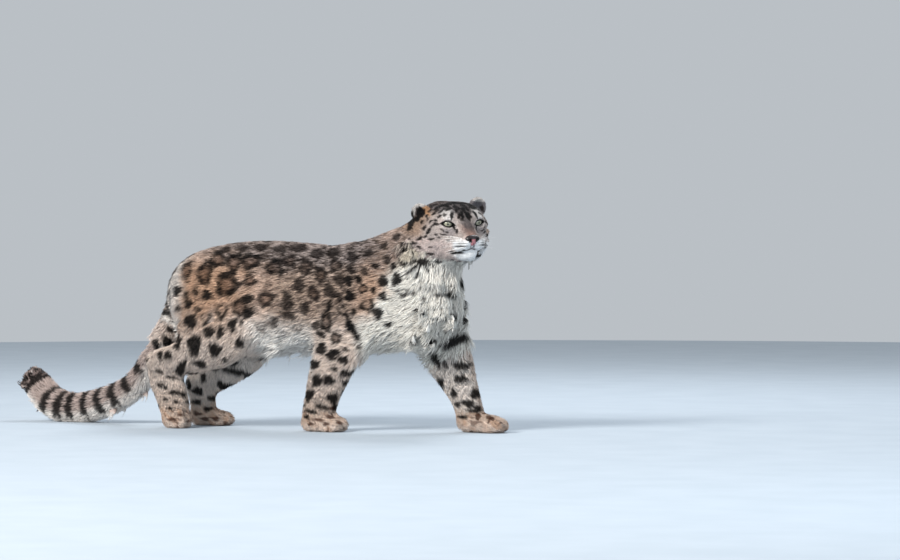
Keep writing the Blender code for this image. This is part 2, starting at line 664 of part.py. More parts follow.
def facing(centre, way):
    """A placing matrix whose +Z is the way given and whose +X is level where it can be."""
    up = Vector(way).normalized()
    level = Vector((0.0, 0.0, 1.0)).cross(up)
    across = level.normalized() if level.length > 1e-6 else Vector((0.0, 1.0, 0.0))
    turn = Matrix((across, up.cross(across), up)).transposed()
    return Matrix.Translation(centre) @ turn.to_4x4()


def block(placed, low, high):
    """A closed box between two corners, placed by a matrix."""
    corners = [placed @ Vector(c) for c in product(*zip(low, high))]
    faces = [(0, 1, 3, 2), (4, 6, 7, 5), (0, 4, 5, 1), (2, 3, 7, 6), (0, 2, 6, 4), (1, 5, 7, 3)]
    return object_of("block", corners, faces)


def cut_away(obj, cutter):
    add_modifier(obj, "BOOLEAN", operation="DIFFERENCE", solver="MANIFOLD", object=cutter)
    apply_modifiers(obj)
    bpy.data.objects.remove(cutter)


def grown(obj, by):
    """A copy whose surface lies further out, for cutting the seat of the piece."""
    copy = copy_of(obj)
    add_modifier(copy, "DISPLACE", strength=by, mid_level=0.0)
    return apply_modifiers(copy)


def loose_parts(obj):
    """The separate closed surfaces of an object, each as an object of its own."""
    bm = bmesh.new()
    bm.from_mesh(obj.data)
    left, parts = set(bm.verts), []
    while left:
        found = [left.pop()]
        for v in found:
            near = {e.other_vert(v) for e in v.link_edges} & left
            left -= near
            found.extend(near)
        place = {v: i for i, v in enumerate(found)}
        faces = {f for v in found for f in v.link_faces}
        parts.append(object_of("part", [v.co for v in found], [[place[v] for v in f.verts] for f in faces]))
    bm.free()
    bpy.data.objects.remove(obj)
    return parts


def largest(obj, name):
    """Keeps the surface with the most points, under this name."""
    parts = sorted(loose_parts(obj), key=lambda part: -len(part.data.vertices))
    for part in parts[1:]:
        bpy.data.objects.remove(part)
    parts[0].name = name
    return parts[0]


def holds(obj, point):
    """Whether the closed surface encloses the point: a ray from it then leaves an odd number of times."""
    way, crossings, start = Vector((0.0123, 0.0171, 1.0)).normalized(), 0, Vector(point)
    while True:
        hit, place, _, _ = obj.ray_cast(start, way)
        if not hit:
            return crossings % 2 == 1
        crossings += 1
        start = place + way * 1e-6


def part_body(body):
    """Cuts the body through and names the pieces. The plain head is dropped for the fine one."""
    for centre, way, wide, high in CUTS:
        placed = facing(centre, way)
        cut_away(body, block(placed, (-wide, -high, -GAP / 2), (wide, high, GAP / 2)))
    floor = Matrix.Identity(4)
    cut_away(body, block(floor, (-1.0, -0.5, -0.1), (1.0, 0.5, 0.0)))
    parts = loose_parts(body)
    for name, point in ANCHORS.items():
        found = [part for part in parts if holds(part, point)]
        found[0].name = name
        parts.remove(found[0])
    for part in parts:
        bpy.data.objects.remove(part)


def part_head(head, nose, eyes):
    """Keeps the head ahead of its cut, and seats the eyes and the nose."""
    centre, way, _, _ = CUTS[0]
    cut_away(head, block(facing(centre, way), (-0.4, -0.4, -0.4), (0.4, 0.4, GAP / 2)))
    for piece in (nose, *eyes):
        cut_away(head, grown(piece, GAP))
    return largest(head, "head")


def finish(obj):
    """Each piece has a material of its own name."""
    colour, roughness = (0.62, 0.55, 0.46), 0.85
    if obj.name.startswith("eye"):
        colour, roughness = (0.30, 0.34, 0.27), 0.08
    if obj.name == "nose":
        colour, roughness = (0.42, 0.20, 0.18), 0.45
    made = bpy.data.materials.new(obj.name)
    made.use_nodes = True
    shader = made.node_tree.nodes["Principled BSDF"]
    shader.inputs["Base Color"].default_value = (*colour, 1.0)
    shader.inputs["Roughness"].default_value = roughness
    obj.data.materials.clear()
    obj.data.materials.append(made)


def centre_on_floor():
    """Moves everything so that the origin is under the middle of the whole box, at floor level."""
    corners = np.array([v.co for obj in bpy.data.objects for v in obj.data.vertices])
    low, high = corners.min(0), corners.max(0)
    shift = Matrix.Translation((-(low[0] + high[0]) / 2, -(low[1] + high[1]) / 2, -low[2]))
    for obj in bpy.data.objects:
        obj.data.transform(shift)


def main():
    clear_scene()
    body = sculpt_body()
    head = sculpt_head()
    nose = sculpt_nose()
    grow_coat(body, head)
    eyes = [eyeball("eye_left", 1), eyeball("eye_right", -1)]
    head = part_head(head, nose, eyes)
    for name in EARS:
        sculpt_ear(name, head)
    part_body(body)
    centre_on_floor()
    for obj in bpy.data.objects:
        finish(obj)


main()
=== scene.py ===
"""A life-size snow leopard as a still model: a dyed hide, a coat of solid tufts, glass eyes, whiskers."""

import math
from functools import lru_cache

import bmesh
import bpy
import numpy as np
from mathutils import Matrix, Vector
from mathutils.bvhtree import BVHTree
from mathutils.kdtree import KDTree


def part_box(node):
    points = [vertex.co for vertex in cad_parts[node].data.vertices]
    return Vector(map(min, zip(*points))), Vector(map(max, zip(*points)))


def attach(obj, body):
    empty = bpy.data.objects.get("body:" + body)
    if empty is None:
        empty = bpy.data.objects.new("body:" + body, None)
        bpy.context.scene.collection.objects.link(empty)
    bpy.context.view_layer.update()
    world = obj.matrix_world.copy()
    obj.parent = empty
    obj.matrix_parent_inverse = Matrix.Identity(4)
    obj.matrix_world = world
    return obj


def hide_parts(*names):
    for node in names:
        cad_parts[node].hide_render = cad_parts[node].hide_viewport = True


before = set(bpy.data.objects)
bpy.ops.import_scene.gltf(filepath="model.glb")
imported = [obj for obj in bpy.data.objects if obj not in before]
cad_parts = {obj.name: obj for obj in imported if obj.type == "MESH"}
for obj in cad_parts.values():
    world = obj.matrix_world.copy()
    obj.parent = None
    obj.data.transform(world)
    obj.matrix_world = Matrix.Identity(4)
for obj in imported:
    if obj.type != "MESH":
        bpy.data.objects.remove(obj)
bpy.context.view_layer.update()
bpy.ops.object.select_all(action="DESELECT")


# The stand-point. The animal is seen from its right and a little from the front, level with its
# shoulder and from far off, so a long lens keeps its limbs in proportion.
PICTURE = (900, 560)
VIEW_TURN, VIEW_TILT, VIEW_DISTANCE = math.radians(24.0), math.radians(1.2), 12.0
PIXELS_PER_METRE = 351.0  # at the aim
AIM_FROM_EYE = np.array((-0.0692, 0.1739, -0.1615))  # from the near eye to the middle of the picture


@lru_cache(maxsize=None)
def middle(node):
    """The centre of one part's box."""
    low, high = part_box(node)
    return (np.array(low) + np.array(high)) / 2


def unit(v):
    v = np.asarray(v, float)
    return v / np.maximum(np.linalg.norm(v, axis=-1, keepdims=True), 1e-12)


to_viewer = np.array((math.sin(VIEW_TURN) * math.cos(VIEW_TILT),
                      -math.cos(VIEW_TURN) * math.cos(VIEW_TILT), math.sin(VIEW_TILT)))
rightward = np.array((math.cos(VIEW_TURN), math.sin(VIEW_TURN), 0.0))
upward = np.cross(to_viewer, rightward)
aim = middle("eye_right") + AIM_FROM_EYE
stand_point = aim + to_viewer * VIEW_DISTANCE


def sight(across, down):
    """Which way the line of sight runs through this place in the picture."""
    way = rightward * (across - PICTURE[0] / 2) - upward * (down - PICTURE[1] / 2)
    return unit(way / PIXELS_PER_METRE - to_viewer * VIEW_DISTANCE)


def in_picture(points):
    """Where points show in the picture, across and down."""
    off = points - stand_point
    scale = PIXELS_PER_METRE * VIEW_DISTANCE / -(off @ to_viewer)
    return np.stack((PICTURE[0] / 2 + off @ rightward * scale, PICTURE[1] / 2 - off @ upward * scale), -1)


bpy.ops.object.camera_add(location=stand_point)
camera = bpy.context.object
camera.rotation_euler = Vector(to_viewer).to_track_quat("Z", "Y").to_euler()
camera.data.sensor_width = 36.0
camera.data.lens = 36.0 * PIXELS_PER_METRE * VIEW_DISTANCE / PICTURE[0]
camera.data.clip_end = 60.0
bpy.context.scene.camera = camera


# The hide. One tanned skin goes over the whole body, drawn in below the tips of the hair by the
# depth of the coat, with the lids, lips and ear cups dressed as folds of the same skin.
EYES = ("eye_left", "eye_right")
BARE = (*EYES, "nose")
BODY_GRAIN, HEAD_GRAIN = 0.0042, 0.0017
BODY_FACES, HEAD_FACES = 76000, 70000
HEAD_NODES = ("head", "ear_left", "ear_right", "neck", *BARE)

# Each part's coat: depth over the skin, length and width of a tuft in millimetres, and layers of cover
COAT = {
    "torso": (11.0, 29.0, 2.0, 3.0),
    "neck": (11.0, 27.0, 2.1, 3.2),
    "head": (2.8, 8.0, 1.1, 1.4),
    "cheek": (10.0, 26.0, 1.9, 2.4),
    "ear": (2.2, 8.5, 0.9, 1.8),
    "foreleg": (7.0, 19.0, 1.8, 2.1),
    "forepaw": (4.2, 12.0, 1.4, 1.0),
    "thigh": (9.0, 24.0, 2.1, 2.5),
    "hock": (6.5, 17.0, 1.7, 2.0),
    "hindpaw": (4.2, 12.0, 1.4, 1.0),
    "tail": (11.5, 27.0, 1.9, 4.4),
    "belly": (16.0, 44.0, 2.5, 3.1),
    "chest": (14.0, 38.0, 2.0, 3.4),
}


def pick(*objects):
    """Selects these objects alone, the first of them active."""
    bpy.ops.object.select_all(action="DESELECT")
    for obj in objects:
        obj.select_set(True)
    bpy.context.view_layer.objects.active = objects[0]


def edit_whole(obj, work, **settings):
    """Runs an edit-mode operator on all of an object's mesh."""
    pick(obj)
    bpy.ops.object.mode_set(mode="EDIT")
    bpy.ops.mesh.select_all(action="SELECT")
    work(**settings)
    bpy.ops.object.mode_set(mode="OBJECT")


def add_modifier(obj, kind, **settings):
    """Adds a modifier and applies it."""
    bpy.context.view_layer.objects.active = obj
    made = obj.modifiers.new(kind.lower(), kind)
    for key, value in settings.items():
        setattr(made, key, value)
    bpy.ops.object.modifier_apply(modifier=made.name)


def skin_over(nodes, name, grain, rounds, faces=math.inf):
    """A closed skin over these nodes, without their seams."""
    pick(*(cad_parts[node] for node in nodes))
    bpy.ops.object.duplicate()
    bpy.ops.object.join()
    made = bpy.context.object
    made.name = made.data.name = name
    made.data.materials.clear()
    edit_whole(made, bpy.ops.mesh.remove_doubles, threshold=0.00001)
    add_modifier(made, "REMESH", mode="VOXEL", voxel_size=grain)
    add_modifier(made, "SMOOTH", factor=0.5, iterations=rounds)
    add_modifier(made, "DECIMATE", ratio=min(1.0, faces / (2 * len(made.data.polygons))))
    return made


def keep_side(obj, place, way):
    """Cuts the skin open at a plane and keeps the side that the way points to."""
    edit_whole(obj, bpy.ops.mesh.bisect, plane_co=tuple(place), plane_no=tuple(way), clear_inner=True)


flesh = sorted(set(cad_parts) - set(BARE))
neck_way = unit(middle("head") - middle("neck"))
neck_cut = middle("neck") + neck_way * 0.004
neck_lap = neck_way * 0.002  # how far the mask and the body's skin each run past the cut
hide = skin_over(flesh, "hide", BODY_GRAIN, 14, BODY_FACES)
keep_side(hide, neck_cut + neck_lap, -neck_way)
mask = skin_over(HEAD_NODES, "mask", HEAD_GRAIN, 3, HEAD_FACES)
keep_side(mask, neck_cut - neck_lap, neck_way)
pick(hide, mask)
bpy.ops.object.join()
bpy.ops.object.shade_smooth()


def divide_near(spots):
    """Divides the faces near these spots, each a place and a reach, for finer forms."""
    bm = bmesh.new()
    bm.from_mesh(hide.data)
    chosen = {e for e in bm.edges for spot, reach in spots if (e.verts[0].co - spot).length < reach}
    bmesh.ops.subdivide_edges(bm, edges=list(chosen), cuts=1, use_grid_fill=True)
    bmesh.ops.triangulate(bm, faces=[f for f in bm.faces if len(f.verts) > 3])
    bm.to_mesh(hide.data)
    bm.free()


PAWS = ("forepaw_left", "forepaw_right", "hindpaw_left", "hindpaw_right")
divide_near([(Vector(middle(eye)), 0.027) for eye in EYES])
divide_near([(Vector(middle(paw) + (0.01, 0.0, 0.0)), 0.075) for paw in PAWS])


def column(data, field, size, kind=np.float32):
    """One field of a mesh's data, as an array of that many values a row."""
    found = np.empty(len(data) * size, kind)
    data.foreach_get(field, found)
    return found.reshape(-1, size) if size > 1 else found


def hide_arrays():
    """The hide's points, its normals there and its edges."""
    mesh = hide.data
    points, outward = column(mesh.vertices, "co", 3), column(mesh.vertex_normals, "vector", 3)
    return points.astype(float), outward.astype(float), column(mesh.edges, "vertices", 2, np.int32)


def move_points(mesh, points):
    mesh.vertices.foreach_set("co", points.astype(np.float32).ravel())
    mesh.update()


def spread(values, edges, rounds):
    """Evens a value out over the skin, from each point to its neighbours."""
    values = np.array(values, float)
    columns = values if values.ndim > 1 else values[:, None]
    a, b = edges.T
    count = len(columns)
    shares = 1.0 + np.bincount(a, minlength=count) + np.bincount(b, minlength=count)
    for _ in range(rounds):
        columns = np.stack([(c + np.bincount(a, c[b], count) + np.bincount(b, c[a], count)) / shares
                            for c in columns.T], 1)
    return columns if values.ndim > 1 else columns[:, 0]


def ramp(low, high, value):
    """Eases from 0 at the first value to 1 at the second."""
    t = np.clip((value - low) / (high - low), 0.0, 1.0)
    return t * t * (3.0 - 2.0 * t)


# The head's own axes, from the eyes and the nose
eye_middle = (middle("eye_left") + middle("eye_right")) / 2
head_left = unit(middle("eye_left") - middle("eye_right"))
to_nose = middle("nose") - eye_middle
to_nose = unit(to_nose - head_left * to_nose.dot(head_left))
raised = np.cross(to_nose, head_left)
NOSE_FALL = math.radians(27.0)  # the nose lies this far below straight ahead
head_ahead = to_nose * math.cos(NOSE_FALL) + raised * math.sin(NOSE_FALL)
head_up = raised * math.cos(NOSE_FALL) - to_nose * math.sin(NOSE_FALL)
head_axes = np.stack((head_ahead, head_left, head_up))


def point_tree(nodes):
    """A tree that finds the nearest corner of these nodes, and the node that each corner is of."""
    corners = [(v.co, number) for number, node in enumerate(nodes)
               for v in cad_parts[node].data.vertices]
    tree = KDTree(len(corners))
    for number, (place, _) in enumerate(corners):
        tree.insert(place, number)
    tree.balance()
    return tree, np.array([owner for _, owner in corners])


# Each point of the hide belongs to the part nearest to it, whose coat it carries
tree, owners = point_tree(flesh)
places, normals, edges = hide_arrays()
owner = owners[[tree.find(p)[1] for p in places]]
names = np.array(flesh)[owner]
kinds = np.array([name.split("_")[0] for name in flesh])[owner]
coat = np.array([COAT[kind] for kind in kinds])
on_torso, on_head, on_tail = kinds == "torso", kinds == "head", kinds == "tail"
smooth_normals = unit(spread(normals, edges, 12))
down = ramp(0.05, 0.75, -smooth_normals[:, 2]) * ramp(0.36, 0.27, places[:, 2])
coat[on_torso] += (np.array(COAT["belly"]) - coat[on_torso]) * down[on_torso, None]
breast = np.isin(kinds, ("torso", "neck")) * ramp(0.52, 0.60, places[:, 0])
breast *= ramp(0.1, 0.6, smooth_normals[:, 0])
coat += (np.array(COAT["chest"]) - coat) * breast[:, None]

# Ahead of the cheeks the coat is short, and it thins to nothing at the lids, the lips and the nose
local = (places - eye_middle) @ head_axes.T
cheek = on_head * ramp(-0.035, -0.085, local[:, 0]) * ramp(0.01, -0.04, local[:, 2])
coat += (np.array(COAT["cheek"]) - coat) * cheek[:, None]
coat = spread(coat, edges, 45)
nose_gap = np.linalg.norm(places - middle("nose"), axis=1)
mouth_gap = np.linalg.norm(local - np.array((0.073, 0.0, -0.062)), axis=1)

# Each eye's opening is an almond, its inner corner low, placed by where the pupil shows in the picture
EYE_RADIUS = 0.0164
PUPIL_AT = {"eye_right": (447.9, 224.4), "eye_left": (479.0, 222.9)}


@lru_cache(maxsize=None)
def eye_axes(eye):
    """Ahead, out to the temple and up, for one eye."""
    way = sight(*PUPIL_AT[eye])
    from_eye = stand_point - middle(eye)
    along = from_eye @ way
    reach = -along - math.sqrt(max(along ** 2 - from_eye @ from_eye + EYE_RADIUS ** 2, 0.0))
    ahead = unit(from_eye + way * reach)
    out = head_left * (1.0 if eye == "eye_left" else -1.0)
    out = unit(out - ahead * (out @ ahead))
    up = np.cross(ahead, out) * (1.0 if eye == "eye_left" else -1.0)
    return np.stack((ahead, out, up))


def outside_almond(eye, points, half_width, rise, fall):
    """How far each point lies outside an almond drawn round the pupil."""
    ahead, out, up = ((points - middle(eye)) @ eye_axes(eye).T).T
    up = up - 0.13 * out
    lower = (half_width ** 2 + rise ** 2) / (2 * rise)
    upper = (half_width ** 2 + fall ** 2) / (2 * fall)
    gap = np.maximum(np.hypot(out, up + lower - rise) - lower, np.hypot(out, up - upper + fall) - upper)
    return np.where((ahead > 0.0) & (ahead < 0.035), gap, 0.05)


eye_gap = np.minimum(*(np.linalg.norm(places - middle(eye), axis=1) for eye in EYES))
bare = ramp(0.019, 0.036, eye_gap) * ramp(0.012, 0.040, nose_gap) * ramp(0.022, 0.052, mouth_gap)
near_face = np.minimum(eye_gap, nose_gap) < 0.12
for size, least in enumerate((0.10, 0.45, 0.65)):
    coat[near_face, size] *= (least + (1.0 - least) * bare)[near_face]

# The solids' locks are smoothed away under the ruff, and the far jowl is drawn in under shorter hair
JOWL_SUNK = 27.0
ruff = ramp(-0.02, -0.05, local[:, 0]) * ramp(-0.02, -0.06, local[:, 2]) * np.isin(kinds, ("head", "neck"))
from_cut = np.abs((places - neck_cut) @ neck_way)
calm = spread(ruff * ramp(0.012, 0.040, from_cut), edges, 12)
places += (spread(places, edges, 100) - places) * calm[:, None]
far_jowl = ruff * ramp(0.042, 0.072, local[:, 1]) * ramp(-0.20, -0.14, local[:, 2])
sunk = JOWL_SUNK * far_jowl * ramp(-0.02, -0.05, local[:, 2])
coat[:, :2] *= 1.0 - far_jowl[:, None] * (0.6, 0.66)

# The tail is dressed as one round, even tube with a round end: where its middle shows in the
# picture, and half its width there
TAIL = ((157, 350, 14.0), (150, 366, 14.2), (136, 388, 14.6), (110, 400.5, 16.2),
        (86, 408.5, 16.8), (64.5, 408, 17.6), (48.5, 398, 16.8), (38.5, 383, 15.0))
TAIL_BROUGHT = 0.036  # how far its end is brought towards the viewer
TAIL_SPARE = 0.0025  # added to its half width, for the hair lies closer than it is deep
tail_points = places[on_tail]


def on_tail_line(across, down):
    """The place on this line of sight as far off as the middle of the tail behind it."""
    close = np.argsort(np.hypot(*(in_picture(tail_points) - (across, down)).T))[:160]
    way = sight(across, down)
    return stand_point + way * ((tail_points[close].mean(0) - stand_point) @ to_viewer) / (way @ to_viewer)


tail_line = np.array([on_tail_line(x, y) for x, y, _ in TAIL])
tail_half = np.array([half for _, _, half in TAIL]) / PIXELS_PER_METRE
smooth = np.linspace(0, len(TAIL) - 1, 90)
tail_line, tail_half = (np.array([np.interp(smooth, range(len(TAIL)), c) for c in np.atleast_2d(v.T)]).T
                        for v in (tail_line, tail_half))
for _ in range(60):
    tail_line[1:-1] = (tail_line[:-2] + 2 * tail_line[1:-1] + tail_line[2:]) / 4
tail_walk = np.concatenate(([0.0], np.cumsum(np.linalg.norm(np.diff(tail_line, axis=0), axis=1))))


def along_tail(points):
    """How far along the tail each point lies, and the nearest place on its middle line."""
    best, found, nearest = np.full(len(points), 9.0), np.zeros(len(points)), points.copy()
    for a, b, start in zip(tail_line[:-1], tail_line[1:], tail_walk[:-1]):
        step = b - a
        t = np.clip((points - a) @ step / (step @ step), -1.5 if start == 0 else 0.0, 1.0)
        foot = a + t[:, None] * step
        gap = np.linalg.norm(points - foot, axis=1)
        closer = gap < best
        best[closer], nearest[closer] = gap[closer], foot[closer]
        found[closer] = (start + t * np.linalg.norm(step))[closer]
    past_end = (points - tail_line[-1]) @ unit(tail_line[-1] - tail_line[-4])
    return found + np.maximum(past_end, 0.0) * (found > tail_walk[-1] - 1e-6), nearest


walked, foot = along_tail(tail_points)
bring = TAIL_BROUGHT * tail_walk / tail_walk[-1]
near_tip = ramp(tail_walk[-1] - 0.050, tail_walk[-1] - 0.004, walked)
coat[on_tail, :2] *= 1.0 - near_tip[:, None] * (0.25, 0.58)
tail_way = unit(np.gradient(tail_line, axis=0))
tail_end = np.zeros(len(places))
tail_end[on_tail] = near_tip
tail_lie = unit(np.stack([np.interp(walked, tail_walk, c) for c in tail_way.T], 1))
half = np.interp(walked, tail_walk, tail_half[:, 0]) + TAIL_SPARE
tube = foot + unit(tail_points - foot) * half[:, None]
tube += to_viewer * np.interp(walked, tail_walk, bring)[:, None]
places[on_tail] += (tube - tail_points) * ramp(0.0, 0.06, walked)[:, None]
tail_line = tail_line + to_viewer * bring[:, None]
places = places + (spread(places, edges, 4) - places) * on_tail[:, None]

# The hair is shorter at the tail's root, under the tail and behind the chin
under_tail = on_tail * ramp(-0.1, -0.6, smooth_normals[:, 2])
coat[:, 1] *= 1.0 - 0.25 * (names == "tail_root") - 0.35 * under_tail
coat[:, 1] *= 1.0 - 0.5 * ramp(-0.03, 0.01, local[:, 0]) * ramp(-0.075, -0.095, local[:, 2])
move_points(hide.data, places)
_, round_normals, _ = hide_arrays()
smooth_normals[on_tail] = spread(round_normals, edges, 8)[on_tail]
smooth_normals = unit(smooth_normals)

# The skin is sunk under the nose leather, and everywhere by the depth of its coat
nose_tree, _ = point_tree(["nose"])
near_nose = nose_gap < 0.03
under_nose = np.array([nose_tree.find(p)[2] for p in places[near_nose]])
sunk[near_nose] += 2.6 * ramp(0.0028, 0.0012, under_nose)
coat[near_nose, 3] *= ramp(0.0015, 0.0035, under_nose)
places -= smooth_normals * (coat[:, 0] + sunk)[:, None] / 1000

# The far cheek and the throat are drawn in to their outline in the picture: down and across
FAR_EDGE = ((226, 488.5), (240, 488.5), (246, 486.5), (250, 483.0), (254, 478.5),
            (258, 474.0), (262, 469.5), (266, 465.5), (272, 463.0), (300, 463.5))
seen = in_picture(places)
past = np.maximum(seen[:, 0] - np.interp(seen[:, 1], *zip(*FAR_EDGE)) + 6.5, 0.0)
drawn = (past - 4.0 * (1.0 - np.exp(-past / 4.0))) * ramp(223, 229, seen[:, 1]) * ramp(296, 276, seen[:, 1])
drawn *= np.isin(kinds, ("head", "neck")) * ramp(0.010, 0.030, local[:, 1])
places -= rightward * (spread(drawn, edges, 4) / PIXELS_PER_METRE)[:, None]

# The crown rises a little between the ears
between_ears = ramp(0.010, 0.040, np.abs(local[:, 1])) * ramp(0.095, 0.070, np.abs(local[:, 1]))
between_ears *= ramp(0.012, 0.034, local[:, 2]) * ramp(0.0, -0.03, local[:, 0]) * on_head
places += head_up * (0.0055 * spread(between_ears, edges, 10))[:, None]

# The lids close over the ball down to the almond, and the lips part along the mouth
for eye in EYES:
    over = places - middle(eye)
    far = np.linalg.norm(over, axis=1)
    gap = outside_almond(eye, places, 0.0132, 0.0052, 0.0045)
    close = (far < 0.026) & (over @ eye_axes(eye)[0] > 0)
    level = np.maximum(far, EYE_RADIUS + 0.0017)
    level = np.where(gap < 0.003, np.minimum(level, EYE_RADIUS + 0.0028), level)
    level = np.where(gap < 0.0, EYE_RADIUS - 0.0016, level)
    places[close] = (middle(eye) + over / far[:, None] * level[:, None])[close]
    coat[gap < 0.0012, 3] = 0.0


def hide_surface():
    """The hide as a surface that lines of sight can meet."""
    return BVHTree.FromPolygons([Vector(p) for p in places], [tuple(p.vertices) for p in hide.data.polygons])


def struck(surface, across, down):
    """Where the line of sight through this place in the picture meets a surface."""
    hit, _, _, _ = surface.ray_cast(Vector(stand_point), Vector(sight(across, down)))
    return np.array(hit) if hit else None


def mirrored(point):
    """The same place on the other half of the head."""
    return point - head_left * 2 * ((point - eye_middle) @ head_left)


# The line of the mouth, the near lip pad and the chin, where they show in the picture
MOUTH = ((474.2, 243.4), (474.0, 246.6), (471.5, 248.6), (468.0, 249.8),
         (462.0, 251.0), (456.0, 252.3), (450.0, 252.9))
PAD, CHIN = (465.5, 243.8), (471.5, 257.0)
face_tree = hide_surface()
mouth_line = [struck(face_tree, *at) for at in MOUTH]
pads = [struck(face_tree, *PAD), mirrored(struck(face_tree, *PAD))]
chin = struck(face_tree, *CHIN)


def from_mouth(points):
    """How far each point lies from the line of the mouth."""
    best = np.full(len(points), 1.0)
    for line in (mouth_line, [mirrored(p) for p in mouth_line[:4]]):
        for a, b in zip(line[:-1], line[1:]):
            t = np.clip((points - a) @ (b - a) / ((b - a) @ (b - a)), 0.0, 1.0)
            best = np.minimum(best, np.linalg.norm(points - a - t[:, None] * (b - a), axis=1))
    return best


face_part = np.nonzero(np.linalg.norm(places - middle("nose"), axis=1) < 0.11)[0]
swell = -0.0026 * np.exp(-(from_mouth(places[face_part]) / 0.0024) ** 2)
for pad_middle in pads:
    swell += 0.0030 * np.exp(-(np.linalg.norm(places[face_part] - pad_middle, axis=1) / 0.013) ** 2)
swell += 0.0020 * np.exp(-(np.linalg.norm(places[face_part] - chin, axis=1) / 0.014) ** 2)
places[face_part] += smooth_normals[face_part] * swell[:, None]
coat[face_part[swell < -0.001], 3] = 0.0

# Toes: three grooves over the front of each paw, and a bulge between them
SOLE = 0.0006  # how far the hide stops above the floor
for paw in PAWS:
    low, high = (np.array(v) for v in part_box(paw))
    t = (places - low) / (high - low)
    ours = (kinds == paw.split("_")[0]) & (np.abs(t[:, 0] - 0.5) < 0.8)
    ours &= np.abs(places[:, 1] - middle(paw)[1]) < 0.06
    front = ramp(0.42, 0.72, t[:, 0]) * ramp(0.02, 0.30, t[:, 2])
    toe = np.cos((t[:, 1] - 0.5) * 2 * math.pi * 3.6)
    places -= smooth_normals * (ours * front * (0.0030 - 0.0042 * toe))[:, None] * 0.9
places[:, 2] = np.maximum(places[:, 2], SOLE)
move_points(hide.data, places)

# Which way the hair stands at each point, which on the tail is straight out from its middle line
places, normals, edges = hide_arrays()
stands = unit(spread(normals, edges, 8))
_, foot = along_tail(places[on_tail])
from_line = unit(places[on_tail] - foot) - stands[on_tail]
stands[on_tail] = unit(stands[on_tail] + from_line * ramp(0.02, 0.06, walked)[:, None])

# Which way the hair lies at each point: back from the nose, down the limbs, out along the tail
lie = np.zeros_like(places)
toward = {
    "torso": (-1.0, 0.0, -0.22),
    "neck": middle("torso_front") - middle("head") + np.array((0.05, 0.0, -0.08)),
    "foreleg_right": middle("forepaw_right") - middle("foreleg_right"),
    "foreleg_left": middle("forepaw_left") - middle("foreleg_left"),
    "forepaw": (1.0, 0.0, -0.5),
    "hindpaw": (1.0, 0.0, -0.5),
    "thigh_right": middle("hock_right") - middle("torso_rear"),
    "thigh_left": middle("hock_left") - middle("torso_rear"),
    "hock": (0.05, 0.0, -1.0),
    "ear": -head_ahead * 0.4 + head_up,
}
for key, way in toward.items():
    lie[(names == key) | (kinds == key)] = unit(way)
from_nose = places - (eye_middle + head_ahead * 0.080 - head_up * 0.030)
lie[on_head] = unit(from_nose)[on_head]
lie[on_tail] = tail_lie
lie += breast[:, None] * np.array((-0.2, 0.0, -1.6))
lie += (cheek * 1.2)[:, None] * (-head_ahead * 0.6 - head_up)
lie = spread(unit(lie), edges, 30)
lie = unit(lie - stands * ((lie * stands).sum(1) * (1.0 - 0.85 * tail_end))[:, None])


# The dye. Black rosettes, rings and bars stand on a ground that runs from a grizzled back through
# warm buff flanks to a white belly. Every hair takes the colour of the hide that it grows from.
def linear(red, green, blue):
    """A colour written from 0 to 255, as the light that it stands for."""
    return np.array([(v / 255) ** 2.2 for v in (red, green, blue)])


BLACK = linear(15, 12, 11)
GRIZZLE, GRIZZLE_DARK = linear(164, 151, 146), linear(44, 37, 35)
BUFF, RUST, FLANK = linear(206, 177, 158), linear(192, 152, 122), linear(218, 200, 188)
WHITE, BREAST = linear(236, 231, 225), linear(236, 231, 222)
LEG, PAW = linear(220, 202, 189), linear(220, 196, 178)
BRIDGE, BROW = linear(142, 108, 95), linear(118, 111, 112)
CHEEK, LIP = linear(206, 192, 185), linear(236, 236, 236)
SOOT = linear(34, 28, 26)

# What a mark of each form is dyed with, and how strongly
FORM_DYES = {
    "dot": (BLACK, 0.97), "bar": (BLACK, 0.97), "ring": (BLACK, 0.96), "cup": (BLACK, 0.95),
    "star": (BLACK, 0.95), "grey": (SOOT, 0.88), "grey ring": (SOOT, 0.92),
    "grey cup": (linear(64, 54, 50), 0.7),
    "brown": (linear(74, 42, 28), 0.85), "rust": (linear(196, 150, 112), 0.8),
    "pale": (linear(222, 216, 210), 0.8), "ash": (linear(128, 124, 128), 0.75),
}

hide_tree = hide_surface()


def ripple(points, scale, seed):
    """A smooth, irregular value from -1 to 1 that runs through space."""
    draw = np.random.default_rng(seed)
    total = np.zeros(len(points))
    for octave in range(5):
        way = unit(draw.normal(size=3)) * (2 * math.pi / scale) * draw.uniform(0.6, 1.5)
        bend = unit(draw.normal(size=3)) * (2 * math.pi / scale) * draw.uniform(0.6, 1.5)
        total += np.sin(points @ way + 1.7 * np.sin(points @ bend + draw.uniform(0, 6)) + draw.uniform(0, 6))
    return np.clip(total / 2.6, -1.0, 1.0)


